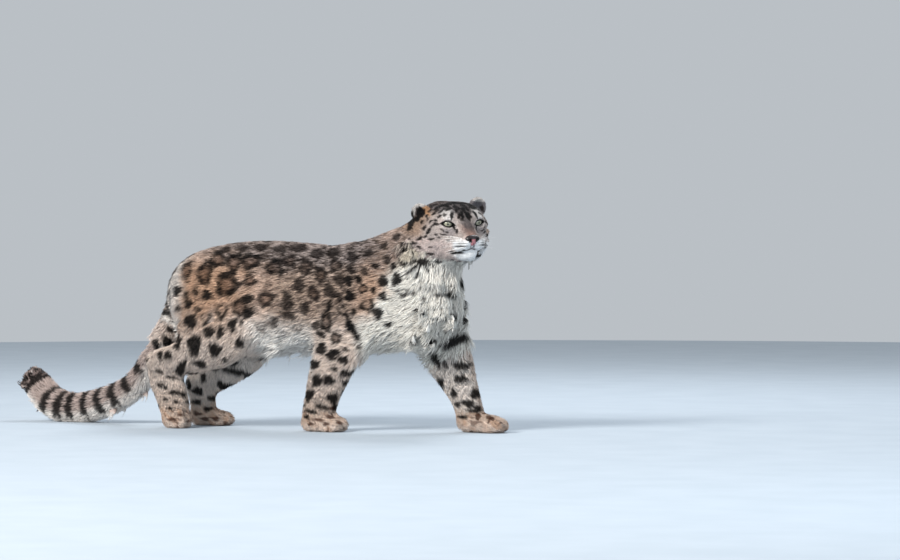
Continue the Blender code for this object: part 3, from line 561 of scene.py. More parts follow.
# Marks on the near side: across and down in the picture, width and height there, then its turn and
# form, where it isn't a level dot
MARKS = (
    (219, 260.5, 15, 14, 0, "ring"), (206, 274, 15, 21, 10, "ring"), (188.5, 271, 9, 17, 12, "ring"),
    (235, 264, 13, 18, 0, "ring"), (252, 262, 20, 14, 0, "ring"), (228, 285, 21, 22, 0, "ring"),
    (251, 280, 11, 13, 0, "ring"), (276, 268, 17, 14, 0, "ring"), (241, 307, 15, 17, 0, "ring"),
    (223, 309.5, 11, 18, 8, "cup"), (207, 317, 9, 14, 0, "cup"), (267, 299, 16, 13, -20, "grey ring"),
    (289, 301, 11, 16, 0, "grey"), (290, 314, 13, 8, 10, "grey"), (263, 324, 11, 13, 0, "grey cup"),
    (275, 321, 8, 10, 0, "grey"), (250, 298, 8, 8), (250, 312, 9, 9), (208, 295, 10, 9), (197, 291, 5, 10),
    (188, 295, 5, 8), (199, 308.5, 7, 4, 20), (179, 291, 7, 10, 20), (189.5, 304, 8, 8),
    (175, 315, 8, 10, -30), (180, 308, 6, 5), (192, 321, 12, 13, 20), (233, 325, 8, 13, 8),
    (210, 332, 10, 10, 20), (242, 322, 4, 6), (221, 332, 6, 13, 14), (167, 341, 8, 11, -15),
    (179.5, 339, 7, 9), (178.5, 347, 7, 6), (195.5, 345, 12, 19, 6), (215.5, 349, 11, 12),
    (239.5, 342.5, 8, 9, 30), (169, 356, 8, 7), (182, 367, 7, 15, 32), (200.5, 363, 13, 6, 12),
    (225, 358.5, 5, 5), (161, 385, 6, 4), (166, 387.5, 4, 4), (176.5, 393, 15, 4, 8, "bar"),
    (172, 377, 10, 3, 12, "bar"), (160, 371, 8, 3, 15, "bar"), (161, 356, 5, 8), (157, 344, 5, 9),
    (171, 329, 9, 5, 15), (166, 399, 5, 3), (176, 402, 6, 3), (183, 396, 4, 4), (170, 408, 5, 3),
    (234, 370.5, 22, 6, 8, "bar"), (224.5, 385, 14, 7, 14, "bar"), (204, 377, 5, 10, 0, "bar"),
    (188.5, 385, 7, 10, 0, "bar"), (198, 391, 10, 7, 20, "bar"), (197, 402, 9, 5, 0, "bar"),
    (211, 398, 7, 5, 0, "bar"), (208, 409, 8, 4, 0, "bar"), (337, 337.5, 10, 10, 0, "ring"),
    (323, 348, 8, 11, 20), (332, 355, 9, 8, 20), (337, 351, 9, 6, 15), (343.5, 358.6, 10, 7, 10),
    (316, 364, 9, 8, 20), (318, 380.6, 9, 11, 15), (329.5, 379.5, 10, 9), (345, 372, 9, 7, -10),
    (335, 368, 6, 4, 20), (310.5, 395, 7, 12, 28), (332, 397.5, 9, 9), (345, 383, 5, 8, -25),
    (323, 407, 13, 4, 15, "bar"), (311, 411.5, 12, 3.5, 10, "bar"), (334, 407, 5, 8), (307, 417, 5, 4),
    (305, 405, 4, 3), (346, 348, 7, 4, 15), (352, 326, 7, 9), (364, 288.6, 8, 9, 0, "ring"),
    (374, 290, 5, 6), (383.5, 296, 7.5, 8), (368, 304, 13, 14, -25, "cup"), (379, 313, 8, 10),
    (351, 296, 9, 9, 20), (355, 311, 5.5, 5.5), (350, 324, 7, 12, -12), (356.5, 333, 6, 12, -14),
    (389, 323, 8, 4), (403.6, 291.5, 10, 8.5, 0, "cup"), (397.5, 279, 8, 12, 20), (395, 266, 6, 6),
    (384, 281, 9, 9), (328, 321, 10, 19, 0, "ring"), (343, 309, 7, 17, -35, "cup"), (350, 281, 8, 10),
    (376, 266, 9, 5), (360, 279, 6, 8, -30), (331, 305, 5, 9), (323, 334, 9, 5, 30), (359, 345, 5, 4),
    (422, 261, 12, 7, -8, "star"), (413.5, 268, 18, 2.2, -42, "bar"), (410, 262, 14, 2, -22, "bar"),
    (418.5, 271, 15, 1.8, -68, "bar"), (427, 268, 11, 1.8, 68, "bar"), (431, 263.5, 9, 1.6, 28, "bar"),
    (291, 262, 14, 11, 0, "grey ring"), (307, 268, 12, 14, 15, "grey ring"),
    (322, 275, 11, 14, -10, "grey ring"), (337, 266, 12, 12, 0, "grey ring"), (300, 285, 11, 12, 0, "grey"),
    (315, 293, 10, 14, -20, "grey ring"), (331, 291, 8, 14, -30, "grey"), (306, 307, 9, 10, 0, "grey"),
    (341, 281, 9, 11, -30, "grey"), (335, 254, 13, 7, 0, "grey"), (318, 255, 12, 7, 0, "grey"),
    (300, 250, 13, 7, 0, "grey"), (281, 251, 13, 7, 0, "grey"), (262, 249, 13, 6, 0, "grey"),
    (244, 250, 12, 6, -6, "grey"), (226, 252, 12, 6, -12, "grey"), (354, 258, 10, 8, 0, "grey"),
    (370, 254, 10, 6, -20, "grey"), (352, 270, 7, 9, -30, "grey"), (366, 272, 7, 8, -30, "grey"),
    (385, 247, 9, 5, -30, "grey"), (398, 238, 8, 5, -35, "grey"), (388, 260, 6, 8, -30, "grey"),
    (404, 249, 6, 7, -30, "grey"), (403, 262, 5, 6, -30, "grey"), (318, 325, 7, 9, 0, "grey"),
    (300, 325, 8, 7, 0, "grey cup"), (286, 331, 6, 5, 0, "grey cup"), (340, 297, 6, 10, -30, "grey"),
    (437, 294, 8, 4, 0, "grey"), (448.5, 294, 10, 6, 12), (458.5, 283, 6, 8, -10), (461, 307, 7, 6),
    (450, 315, 8, 4), (423.5, 298.6, 3, 5), (414, 293, 4, 3, 0, "grey"), (453, 340, 23, 10, -22, "bar"),
    (434, 341, 9, 4, -30), (436.5, 358, 6, 17, -24, "bar"), (462, 366, 15, 7, 0, "bar"),
    (461, 379, 12, 7.5, 6), (474.5, 394, 8, 9), (454.5, 393, 5, 9, -20), (468, 403.5, 11, 6, 22, "bar"),
    (458, 404, 5, 5), (441.5, 382, 6, 10, -25), (470, 353, 8, 6), (475, 372, 5, 9, 10), (477, 408, 6, 4, 20),
    (446, 364, 5, 8, -20, "grey"), (463, 417, 9, 3, 5, "bar"), (474, 411, 12, 3, 4, "bar"),
    (478, 417, 5, 6, 0, "brown"), (490, 418, 8, 4, 20, "brown"), (498, 416, 6, 5, 0, "brown"),
    (506, 420, 4, 5, 0, "brown"), (487, 412, 6, 3, 0, "brown"), (319, 420, 9, 3, 10, "brown"),
    (330, 417, 7, 3, 20, "brown"), (326, 424, 6, 3, 0, "brown"), (311, 424, 6, 3, 0, "brown"),
    (339, 423, 5, 3, 20, "brown"), (205, 419, 8, 3, 10, "brown"), (216, 419, 6, 4, 0, "brown"),
    (225, 423, 4, 4, 0, "brown"), (198, 414, 8, 3, 0, "brown"), (172, 419, 6, 3, 0, "brown"),
    (180, 415, 5, 3, 0, "brown"),
)
# The same on the head, where each is repeated across the face
HEAD_MARKS = (
    (424.5, 228, 5, 3, -50), (429.5, 230, 5, 3, -55), (428, 232.5, 3.5, 3, -40), (425.5, 236.5, 4, 2, -30),
    (420, 238.5, 6, 2.6, -30), (431.5, 239, 6, 1.8, -8), (414, 243, 5, 2.6, 8), (419.5, 247, 5, 2.2, 25),
    (430.5, 247, 4, 1.5, 0, "grey"), (411.5, 253.5, 6, 2.4, 5), (430.5, 253.5, 8, 2.2, 5),
    (438.5, 260.5, 7, 2.2, -6), (436.5, 224, 5.5, 2.6, 8), (435.5, 220.5, 3.5, 2.2, 10),
    (436, 234.5, 3.2, 2.0, 0, "grey"), (439, 237.5, 3, 1.8, 0, "grey"), (448.5, 240.5, 3, 1.6, 0, "grey"),
    (451.8, 215.5, 3.2, 7.5, 4), (444.5, 215, 3.5, 3, 0, "grey"), (439.5, 216.5, 5, 2.2, -30),
    (448.5, 209.5, 7, 2.4, -20), (436, 211.5, 7, 2.2, -35, "grey"), (445, 205.5, 8, 2.2, -10),
    (455.5, 208, 4, 2.6, 20), (459.5, 215.5, 4, 5.5, 15), (463, 209.5, 5, 2.6, 30),
    (462, 219.5, 3, 4, 10, "grey"), (468, 216, 4, 5, -10), (457, 231.5, 2.4, 4),
    (454, 227, 2.2, 6, -20, "bar"), (460.5, 246.2, 12, 1.4, 0, "grey"), (462, 243.6, 8, 1.1, 0, "grey"),
    (455, 203.5, 9, 2.4), (433, 206, 8, 2.6, -25, "grey"), (436.5, 208.5, 5, 2.6, -30),
    (441, 206, 5, 2.4, -20), (450, 204, 6, 2.2, -5), (458.5, 203.6, 5, 2, 5), (462, 205.5, 4, 2, 10),
    (454.5, 206.5, 4, 2), (448, 207, 4, 1.8, -10), (459, 208.5, 3, 2.4, 40), (456.5, 211, 2.6, 4, 15),
    (461.5, 213, 2.6, 4, 10), (458.8, 217, 2.6, 4, 5, "grey"), (462.8, 216.5, 2.4, 4),
    (444, 209.5, 4, 1.8, -28), (440.5, 212, 5, 1.8, -30), (434, 214, 5, 2, -35),
    (430, 211, 5, 2, -40, "grey"), (427, 216, 4, 2, -45), (433, 225.5, 5, 1.6, -30),
    (431, 221.5, 4, 1.8, -45), (442, 229.5, 5, 1.2, 20, "grey"), (446, 232, 6, 1.2, 15, "grey"),
    (443, 234.5, 6, 1.2, 10, "grey"), (456, 252.6, 13, 2.6, 4), (428, 219, 4, 2, -40, "grey"),
    (422, 222, 4, 2.4, -50),
)
# The ears, which differ as each is seen from its own side
EAR_MARKS = (
    (419, 205, 11, 3.6, -4, "pale"), (413.8, 211, 2.8, 10, 8, "pale"), (427, 210.5, 6, 9, -20, "rust"),
    (420.6, 213.2, 7.6, 11, 12), (411.5, 222, 5.5, 17, 6), (417, 219.5, 5, 5), (478, 206, 18, 16, 0, "ash"),
    (478.5, 199.5, 14, 3.4, 0, "pale"), (482, 208.5, 3.6, 6, -14, "grey"), (473.5, 207.5, 6, 4, 0, "grey"),
)
# The far side and the hidden faces carry marks of the same kinds, scattered a set distance apart
SCATTER = {  # gap, and width along and across the lie, in millimetres, and form
    "torso": (52, 40, 46, "ring"), "neck": (34, 15, 20, "dot"), "foreleg": (36, 27, 23, "dot"),
    "thigh": (38, 32, 27, "dot"), "hock": (31, 12, 24, "bar"), "forepaw": (26, 9, 13, "brown"),
    "hindpaw": (26, 9, 13, "brown"), "head": (19, 11, 7, "dot"),
}

mouth_line = [struck(hide_tree, *at) for at in MOUTH]
marks = []


def add_mark(place, along, across, long, wide, form, seed, facing):
    marks.append((place, unit(along), unit(across), long / 2, wide / 2, form, seed, facing))


PIXEL = 1 / PIXELS_PER_METRE
flip = np.eye(3) - 2 * np.outer(head_left, head_left)
for number, (x, y, wide, high, *rest) in enumerate(MARKS + EAR_MARKS + HEAD_MARKS):
    turn, form = (*rest, *(0, "dot")[len(rest):])
    place = struck(hide_tree, x, y)
    if place is None:
        continue
    c, s = math.cos(math.radians(turn)), math.sin(math.radians(turn))
    along, across = rightward * c - upward * s, rightward * s + upward * c
    wide, high = wide * PIXEL, high * PIXEL
    add_mark(place, along, across, wide, high, form, number, to_viewer)
    if number >= len(MARKS + EAR_MARKS) and (place - eye_middle) @ head_left < -0.004:
        near, _, _, _ = hide_tree.find_nearest(Vector(mirrored(place)))
        add_mark(np.array(near), flip @ along, flip @ across, wide, high, form, number, flip @ to_viewer)

draw = np.random.default_rng(11)
open_to_view = (normals @ to_viewer) > 0.12
for index in np.nonzero(open_to_view)[0]:
    start = places[index] + normals[index] * 0.004
    if hide_tree.ray_cast(Vector(start), Vector(to_viewer), 2.0)[0]:
        open_to_view[index] = False
kept = []


def crowded(place, gap):
    """Whether a mark already kept lies closer to this place than the gap between two marks."""
    return any(abs(place[0] - other[0]) < 0.055 and np.linalg.norm(place - other) < (gap + its_gap) / 2000
               for other, its_gap in kept)


for index in draw.permutation(len(places)):
    kind = kinds[index]
    if kind not in SCATTER or open_to_view[index]:
        continue
    gap, long, wide, form = SCATTER[kind]
    p, n = places[index], normals[index]
    pale = (kind == "torso" and (n[2] < -0.25 or p[2] < 0.24)) or (kind == "neck" and n[0] > 0.55)
    near_bare = min(np.linalg.norm(p - middle(node)) for node in BARE) < 0.035
    if pale or kind == "head" and (n @ head_ahead > 0.2 or near_bare) or crowded(p, gap):
        continue
    kept.append((p, gap))
    if kind == "torso" and p[2] > 0.50:
        long, wide, form = 30, 16, "dot"
    elif kind == "torso" and (p[2] < 0.33 or p[0] > 0.42):
        long, wide, form = 22, 20, "dot"
    long, wide = long * draw.uniform(0.75, 1.2) / 1000, wide * draw.uniform(0.8, 1.2) / 1000
    add_mark(p, lie[index], np.cross(n, lie[index]), long, wide, form, int(index), n)

# Bars round the tail: across and down in the picture, and half the width there
TAIL_BARS = ((147, 350, 5.5), (138, 368, 4.8), (126, 384, 4.8), (112, 393, 4.6), (98, 402, 4.8),
             (84, 406, 5.0), (69.5, 410, 4.8), (57.5, 408, 4.0), (48.5, 395, 4.4), (36, 381, 3.0))
met = [(struck(hide_tree, x, y), half) for x, y, half in TAIL_BARS]
bars = [(along_tail(place[None])[0][0], half * PIXEL) for place, half in met if place is not None]


def mix(a, b, share):
    """From the first colour to the second, by this share at each point."""
    return a + (b - a) * np.asarray(share)[..., None]


def ground_colour(p, n, kind):
    """The coat's colour between its marks."""
    x, z = p[:, 0], p[:, 2]
    soft, fine = ripple(p, 0.09, 1), ripple(p, 0.016, 2)
    streaks = ripple(p * (0.5, 1.0, 1.0), 0.013, 3)
    mottle = ripple(p * (0.8, 1.0, 0.8), 0.034, 4)
    trunk = np.isin(kind, ("torso", "neck"))
    grizzled = mix(GRIZZLE, GRIZZLE_DARK, np.clip(0.50 + 0.75 * streaks + 0.35 * mottle, 0, 1))

    # Trunk: buff flanks, a warmer haunch and shoulder, a grizzled back and a white belly and breast
    colour = mix(np.tile(FLANK, (len(p), 1)), BUFF, ramp(0.29, 0.38, z + 0.02 * soft))
    warm = np.maximum(ramp(0.12, -0.02, x + 0.03 * soft), 0.6 * ramp(0.40, 0.47, x) * ramp(0.56, 0.50, x))
    colour = mix(colour, RUST, warm * ramp(0.27, 0.36, z + 0.02 * soft) * ramp(0.50, 0.44, z) * 0.75)
    colour = mix(colour, WHITE, ramp(-0.115, -0.165, x + 0.01 * soft) * 0.75)
    upper_leg = ramp(0.27, 0.31, x) * ramp(0.445, 0.395, x) * ramp(0.06, 0.095, -p[:, 1])
    side = ramp(-0.2, 0.5, -n[:, 2]) * ramp(0.36, 0.26, z)
    low = ramp(0.315, 0.245, z + 0.012 * soft + 0.05 * ramp(0.10, -0.05, x))
    colour = mix(colour, WHITE, np.maximum(side, low) * trunk * (1 - upper_leg))
    colour = mix(colour, LEG, upper_leg * ramp(0.31, 0.27, z) * trunk)
    blotch = ramp(0.15, 0.50, ripple(p * (0.85, 1.0, 1.0), 0.050, 31))
    blotch = blotch * ramp(0.04, 0.12, x) * ramp(0.50, 0.42, x)
    colour = mix(colour, linear(84, 68, 60), blotch * ramp(0.31, 0.36, z) * 0.62 * trunk)
    flank = ramp(0.13, 0.20, x + 0.02 * soft) * ramp(0.46, 0.40, x) * ramp(0.27, 0.35, z + 0.01 * mottle)
    brindle = mix(linear(190, 166, 148), GRIZZLE_DARK, np.clip(0.38 + streaks + 0.35 * mottle, 0, 1))
    colour = mix(colour, brindle, flank * 0.80 * trunk)
    saddle = 0.022 * ramp(0.03, 0.16, x) * ramp(0.50, 0.36, x) - 0.014 * ramp(0.08, -0.05, x)
    back = ramp(0.445, 0.515, z + 0.010 * soft + saddle)
    colour = mix(colour, grizzled, back * 0.93 * trunk)
    scruff = ramp(0.44, 0.50, x) * ramp(0.42, 0.47, z) * ramp(0.62, 0.56, x)
    colour = mix(colour, mix(grizzled, BUFF, 0.45), scruff * 0.8 * trunk)
    bib = ramp(0.475, 0.535, x + 0.015 * soft - 0.45 * (z - 0.40)) * ramp(0.555, 0.50, z - 0.35 * (x - 0.56))
    colour = mix(colour, BREAST, bib * trunk)
    cream = ramp(0.66, 0.58, x) * ramp(0.46, 0.50, z - 0.3 * (x - 0.58)) * bib
    colour = mix(colour, linear(204, 188, 164), cream * 0.8 * trunk)
    between = ramp(0.40, 0.45, x) * ramp(0.355, 0.295, z)
    colour = mix(colour, BREAST, between * (kind == "torso") * (1 - upper_leg))

    # Limbs: buff outside, white inside, tawny at the feet
    leg = mix(np.tile(LEG, (len(p), 1)), PAW, ramp(0.14, 0.05, z) * 0.7)
    leg = mix(leg, RUST, ramp(0.23, 0.33, z) * ramp(0.10, -0.02, x) * (kind == "thigh") * 0.6)
    inner = ramp(0.1, 0.8, -n[:, 1] * np.sign(p[:, 1]))
    leg = mix(leg, WHITE, inner * 0.45)
    leg = mix(leg, WHITE, (kind == "thigh") * ramp(0.04, 0.12, x) * 0.8)
    colour = np.where(np.isin(kind, ("foreleg", "hock", "thigh"))[:, None], leg, colour)
    paw = mix(np.tile(PAW, (len(p), 1)), LEG, ramp(0.035, 0.012, z) * 0.8)
    paw = mix(paw, linear(200, 152, 116), np.clip(mottle, 0, 1) * 0.5)
    speckle = ramp(0.42, 0.74, ripple(p * (0.55, 1.4, 1.0), 0.019, 8)) * ramp(0.012, 0.026, z)
    paw = mix(paw, linear(78, 48, 36), speckle * 0.6)
    colour = np.where(np.isin(kind, ("forepaw", "hindpaw"))[:, None], paw, colour)
    tail = mix(np.tile(linear(186, 168, 160), (len(p), 1)), WHITE, ramp(0.0, -0.55, n[:, 2]) * 0.85)
    tail = mix(tail, FLANK, ramp(0.22, 0.26, z))
    colour = np.where((kind == "tail")[:, None], tail, colour)

    # Head: pale cheeks and lips, a dark streaked crown and a tawny bridge to the nose
    ahead, left, up = ((p - eye_middle) @ head_axes.T).T
    temple = ramp(-0.01, -0.06, ahead) * ramp(-0.07, -0.02, up)
    skull = mix(np.tile(CHEEK, (len(p), 1)), linear(196, 166, 144), temple)
    across = ripple(np.column_stack((ahead * 0.45, left * 1.5, up)), 0.011, 9)
    crown_dark = mix(BROW, linear(42, 39, 40), np.clip(0.45 + 0.9 * across, 0, 1))
    crown = ramp(0.020, 0.038, up + 0.10 * ahead + 0.55 * np.maximum(-0.035 - ahead, 0.0))
    skull = mix(skull, crown_dark, crown * 0.93)
    bridge = ramp(0.030, 0.006, np.abs(left)) * ramp(0.012, -0.010, up) * ramp(-0.056, -0.034, up)
    skull = mix(skull, BRIDGE * (1.0 + 0.25 * across)[:, None], bridge * 0.85)
    between = ramp(0.021, 0.007, np.abs(left) + 0.004 * across) * ramp(-0.024, -0.004, up + 0.002 * across)
    skull = mix(skull, mix(BROW, GRIZZLE_DARK, 0.45), between * 0.85)
    # Painted shade: the head's dye is darkened overall, for the self-shadow that its short coat lacks
    skull = skull * 0.80
    jowl = ramp(-0.032, -0.050, up) * ramp(-0.105, -0.080, up) * ramp(-0.085, -0.035, ahead)
    skull = mix(skull, linear(224, 204, 198), jowl * (0.50 + 0.20 * across))
    lips = np.maximum(ramp(0.046, 0.062, ahead) * ramp(-0.030, -0.040, up + 0.15 * np.abs(left)),
                      ramp(0.02, 0.05, ahead) * ramp(-0.068, -0.078, up))
    skull = mix(skull, LIP, lips)
    for eye in EYES:
        before, out, rise = ((p - middle(eye)) @ eye_axes(eye).T).T
        face = ramp(-0.050, -0.030, before)
        pale = ramp(0.019, 0.010, np.hypot(out * 0.8, rise - 0.026)) * face
        skull = mix(skull, linear(218, 212, 208), pale * 0.9)
        shadow = ramp(0.018, 0.009, np.hypot((out + 0.004) * 0.7, rise + 0.020)) * face
        skull = mix(skull, linear(150, 143, 144), shadow * 0.55)
        rim = ramp(0.0155, 0.0125, np.hypot(out * 0.62, (rise + 0.001) * 1.15)) * face
        skull = mix(skull, linear(205, 195, 190), rim * 0.6)
    flecked = ripple(p * (0.7, 1.0, 1.3), 0.0065, 41) + 0.7 * ripple(p, 0.012, 42)
    skull = skull * (1.0 - 0.20 * np.clip(flecked, -0.5, 1.0) * ramp(0.075, 0.045, ahead))[:, None]
    colour = np.where(np.isin(kind, ("head", "ear"))[:, None], skull, colour)
    throat = (kind == "neck") * ramp(0.01, 0.03, left) * ramp(-0.06, -0.075, up) * ramp(-0.14, -0.10, up)
    colour = mix(colour, LIP, throat)
    return colour * (1.0 + 0.06 * soft + 0.07 * fine)[:, None]


def mark_strength(u, v, a, b, form, seed):
    """How strongly a mark shows at u, v of its own size: 1 in its black, 0 outside its edge."""
    angle = np.arctan2(v, u)
    wave = 1.0 + 0.12 * np.sin(3 * angle + seed) + 0.08 * np.sin(5 * angle + 2.1 * seed)
    wave += 0.05 * np.sin(9 * angle + seed)
    r = np.hypot(u, v) * wave
    if form == "bar":
        r = (np.abs(u) ** 2.6 + np.abs(v) ** 2.6) ** (1 / 2.6) * wave
    edge = min(0.40, 0.0016 / min(a, b))
    full = ramp(1.16 + edge, 1.16 - edge, r)
    if form.endswith(("ring", "cup")):
        breaks = 0.5 + 0.5 * np.sin((2 + seed % 3) * angle + 1.3 * seed) + 0.25 * np.sin(7 * angle + seed)
        shade = full * ramp(0.36, 0.62, r) * np.clip(0.78 + 0.9 * breaks, 0, 1)
        return shade * ramp(0.9, 0.3, v) if form.endswith("cup") else shade
    if form == "star":
        rays = ramp(2.6, 0.8, np.hypot(u, v)) * ramp(0.30, 0.75, np.sin(13 * angle + 2)) * (v < 0.3)
        return np.clip(full + rays, 0, 1)
    return full


def dyed(p, n, kind):
    """The colour of the coat at each point, marks and all."""
    colour = ground_colour(p, n, kind)
    low, high = p.min(0) - 0.05, p.max(0) + 0.05
    for place, along, across, a, b, form, seed, facing in marks:
        if (place < low).any() or (place > high).any():
            continue
        reach = (2.7 if form == "star" else 1.6) * max(a, b) + 0.003
        near = np.nonzero((np.abs(p - place) < reach).all(1))[0]
        near = near[n[near] @ facing > -0.05]
        if not len(near):
            continue
        d = p[near] - place
        u, v = d @ along / a, d @ across / b
        dye, strength = FORM_DYES[form]
        if form.endswith("ring"):
            hollow = ramp(1.0, 0.7, np.hypot(u, v))
            colour[near] = mix(colour[near], colour[near] * (0.42, 0.36, 0.33), hollow * 0.8)
        colour[near] = mix(colour[near], dye, mark_strength(u, v, a, b, form, seed) * strength)

    # Bars over the tail, which fade out underneath, and a grey-brown end with a dark crest
    tail = kind == "tail"
    if tail.any():
        q = p[tail]
        s, _ = along_tail(q)
        edge = -0.14 - 0.60 * ramp(0.10, 0.26, s)
        over = ramp(edge - 0.22, edge + 0.16, n[tail, 2] + 0.22 * ripple(q, 0.03, 5))
        wobble = 0.0035 * ripple(q, 0.03, 6) + 0.0020 * ripple(q, 0.012, 7)
        end = tail_walk[-1]
        brush = linear(150, 130, 125) * (1.0 + 0.25 * ripple(q, 0.012, 8))[:, None]
        colour[tail] = mix(colour[tail], brush, ramp(end - 0.012, end + 0.006, s) * 0.85)
        band = np.zeros(len(q))
        for at, half in bars:
            band = np.maximum(band, ramp(half + 0.004, half - 0.002, np.abs(s - at + wobble)))
        crest = ramp(0.35, 0.80, (q - tail_line[-1]) @ unit((0.75, 0.0, 0.66)) / 0.045)
        band = np.maximum(band * over, crest * ramp(end - 0.02, end + 0.008, s) * 0.75)
        colour[tail] = mix(colour[tail], BLACK, band * 0.95)

    # Black lids and lips, and the dark backs of the ears
    on_face = np.isin(kind, ("head", "ear"))
    if on_face.any():
        q = p[on_face]
        dark = ramp(0.0030, 0.0006, from_mouth(q)) * 0.95
        for eye in EYES:
            dark = np.maximum(dark, ramp(0.0009, -0.0005, outside_almond(eye, q, 0.0225, 0.0098, 0.0084)))
        colour[on_face] = mix(colour[on_face], BLACK, dark * 0.97)
        back = ramp(0.05, -0.35, n[on_face] @ head_ahead) * (kind[on_face] == "ear")
        colour[on_face] = mix(colour[on_face], BLACK, back * 0.9)
    return np.clip(colour, 0.003, 0.95)


hide_colour = dyed(places, normals, kinds)


class Socket:
    """A shader socket that can be added to and multiplied."""

    def __init__(self, owner, socket):
        self.owner, self.socket = owner, socket

    def maths(self, operation, other):
        return self.owner.node("ShaderNodeMath", {"operation": operation}, {0: self, 1: other})

    def __add__(self, other):
        return self.maths("ADD", other)

    def __mul__(self, other):
        return self.maths("MULTIPLY", other)

    __radd__, __rmul__ = __add__, __mul__


class Finish:
    """A material under construction."""

    def __init__(self, name):
        self.material = bpy.data.materials.new(name)
        self.material.use_nodes = True
        self.tree = self.material.node_tree
        self.shader = self.tree.nodes["Principled BSDF"]

    def node(self, kind, settings=None, inputs=None, output=0):
        """Adds a node of any kind and returns one of its sockets."""
        made = self.tree.nodes.new(kind)
        for key, value in (settings or {}).items():
            if key == "stops":
                while len(made.color_ramp.elements) < len(value):
                    made.color_ramp.elements.new(0.5)
                for stop, (at, colour) in zip(made.color_ramp.elements, value):
                    stop.position, stop.color = at, (*colour, 1.0)
            else:
                setattr(made, key, value)
        for key, value in (inputs or {}).items():
            self.feed(made.inputs[key], value)
        return Socket(self, made.outputs[output])

    def feed(self, socket, value):
        if isinstance(value, Socket):
            self.tree.links.new(value.socket, socket)
        else:
            socket.default_value = value

    def noise(self, scale, **inputs):
        """Noise that lies still in the piece's own space."""
        own_space = self.node("ShaderNodeTexCoord", output="Object")
        return self.node("ShaderNodeTexNoise", {}, {"Vector": own_space, "Scale": scale, **inputs})

    def shades(self, share, *stops):
        """Colours that follow a value."""
        return self.node("ShaderNodeValToRGB", {"stops": stops}, {"Fac": share})

    def set(self, **values):
        """Feeds the shader's own sockets and returns the material."""
        for key, value in values.items():
            self.feed(self.shader.inputs[key.replace("_", " ")], value)
        return self.material

    def bump(self, height, depth, strength=1.0):
        return self.node("ShaderNodeBump", {}, {"Height": height, "Distance": depth, "Strength": strength})


def paint(obj, colours):
    """Gives each point of a mesh its own dye."""
    layer = obj.data.color_attributes.new("dye", "FLOAT_COLOR", "POINT")
    opaque = np.column_stack((colours, np.ones(len(colours))))
    layer.data.foreach_set("color", opaque.astype(np.float32).ravel())


def dye_of(finish):
    return finish.node("ShaderNodeVertexColor", {"layer_name": "dye"})


paint(hide, hide_colour)
skin = Finish("hide")
grain = skin.noise(900.0, Detail=3.0)
streak = skin.noise(260.0)
dulled = skin.shades(streak, (0.30, (0.55, 0.55, 0.55)), (0.68, (1.0, 1.0, 1.0)))
FACTOR, FIRST_COLOUR, SECOND_COLOUR, MIXED_COLOUR = 0, 6, 7, 2  # sockets of the mix node
shade = skin.node("ShaderNodeMix", {"data_type": "RGBA", "blend_type": "MULTIPLY"},
                  {FACTOR: 0.55, FIRST_COLOUR: dye_of(skin), SECOND_COLOUR: dulled}, MIXED_COLOUR)
hide.data.materials.append(skin.set(Base_Color=shade, Roughness=0.78, Specular_IOR_Level=0.25,
                                    Normal=skin.bump(grain * 0.6 + streak, 0.0012, 0.6)))
edit_whole(hide, bpy.ops.uv.smart_project, angle_limit=math.radians(75.0), island_margin=0.002)
hide.data.uv_layers[0].name = "OFBake"
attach(hide, "root")
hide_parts(*flesh)


# The eyes. Each is a glass half-ball, painted behind with a pale grey-green iris, a small round
# pupil and a dark ring, and set in its socket before the lids are drawn over it.
IRIS, PUPIL = 0.0124, 0.0030

for eye in EYES:
    bpy.ops.mesh.primitive_uv_sphere_add(segments=64, ring_count=48, radius=EYE_RADIUS, location=(0, 0, 0))
    ball = bpy.context.object
    ball.name = ball.data.name = eye.replace("eye", "glass_eye")
    turn = Vector(eye_axes(eye)[0]).to_track_quat("Z", "Y").to_matrix().to_4x4()
    points = column(ball.data.vertices, "co", 3).astype(float)
    out = np.hypot(points[:, 0], points[:, 1])
    front = points[:, 2] > 0
    points[:, 2] += np.where(front, 0.0008 * ramp(IRIS * 1.1, IRIS * 0.5, out), 0.0)
    angle = np.arctan2(points[:, 1], points[:, 0])
    flecks = 0.5 + 0.5 * np.sin(23 * angle + 2 * np.sin(5 * angle))
    iris = mix(np.tile(linear(124, 122, 104), (len(points), 1)), linear(168, 166, 138), flecks * 0.6)
    iris = mix(iris, linear(120, 116, 84), ramp(PUPIL * 1.9, PUPIL * 1.1, out) * 0.6)
    iris = mix(iris, linear(66, 74, 74), ramp(IRIS * 0.66, IRIS * 0.98, out) * 0.9)
    paintwork = mix(iris, linear(8, 8, 8), ramp(PUPIL * 1.08, PUPIL * 0.94, out))
    paintwork = mix(paintwork, linear(30, 24, 20), np.where(front, ramp(IRIS * 0.98, IRIS * 1.06, out), 1.0))
    move_points(ball.data, points)
    ball.data.transform(turn)
    ball.data.transform(Matrix.Translation(middle(eye)))
    bpy.ops.object.shade_smooth()
    paint(ball, paintwork)
    glass = Finish(ball.name)
    ball.data.materials.append(glass.set(Base_Color=dye_of(glass), Roughness=0.30, Coat_Weight=1.0,
                                         Coat_Roughness=0.02, Specular_IOR_Level=0.5))
    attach(ball, "root")
    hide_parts(eye)
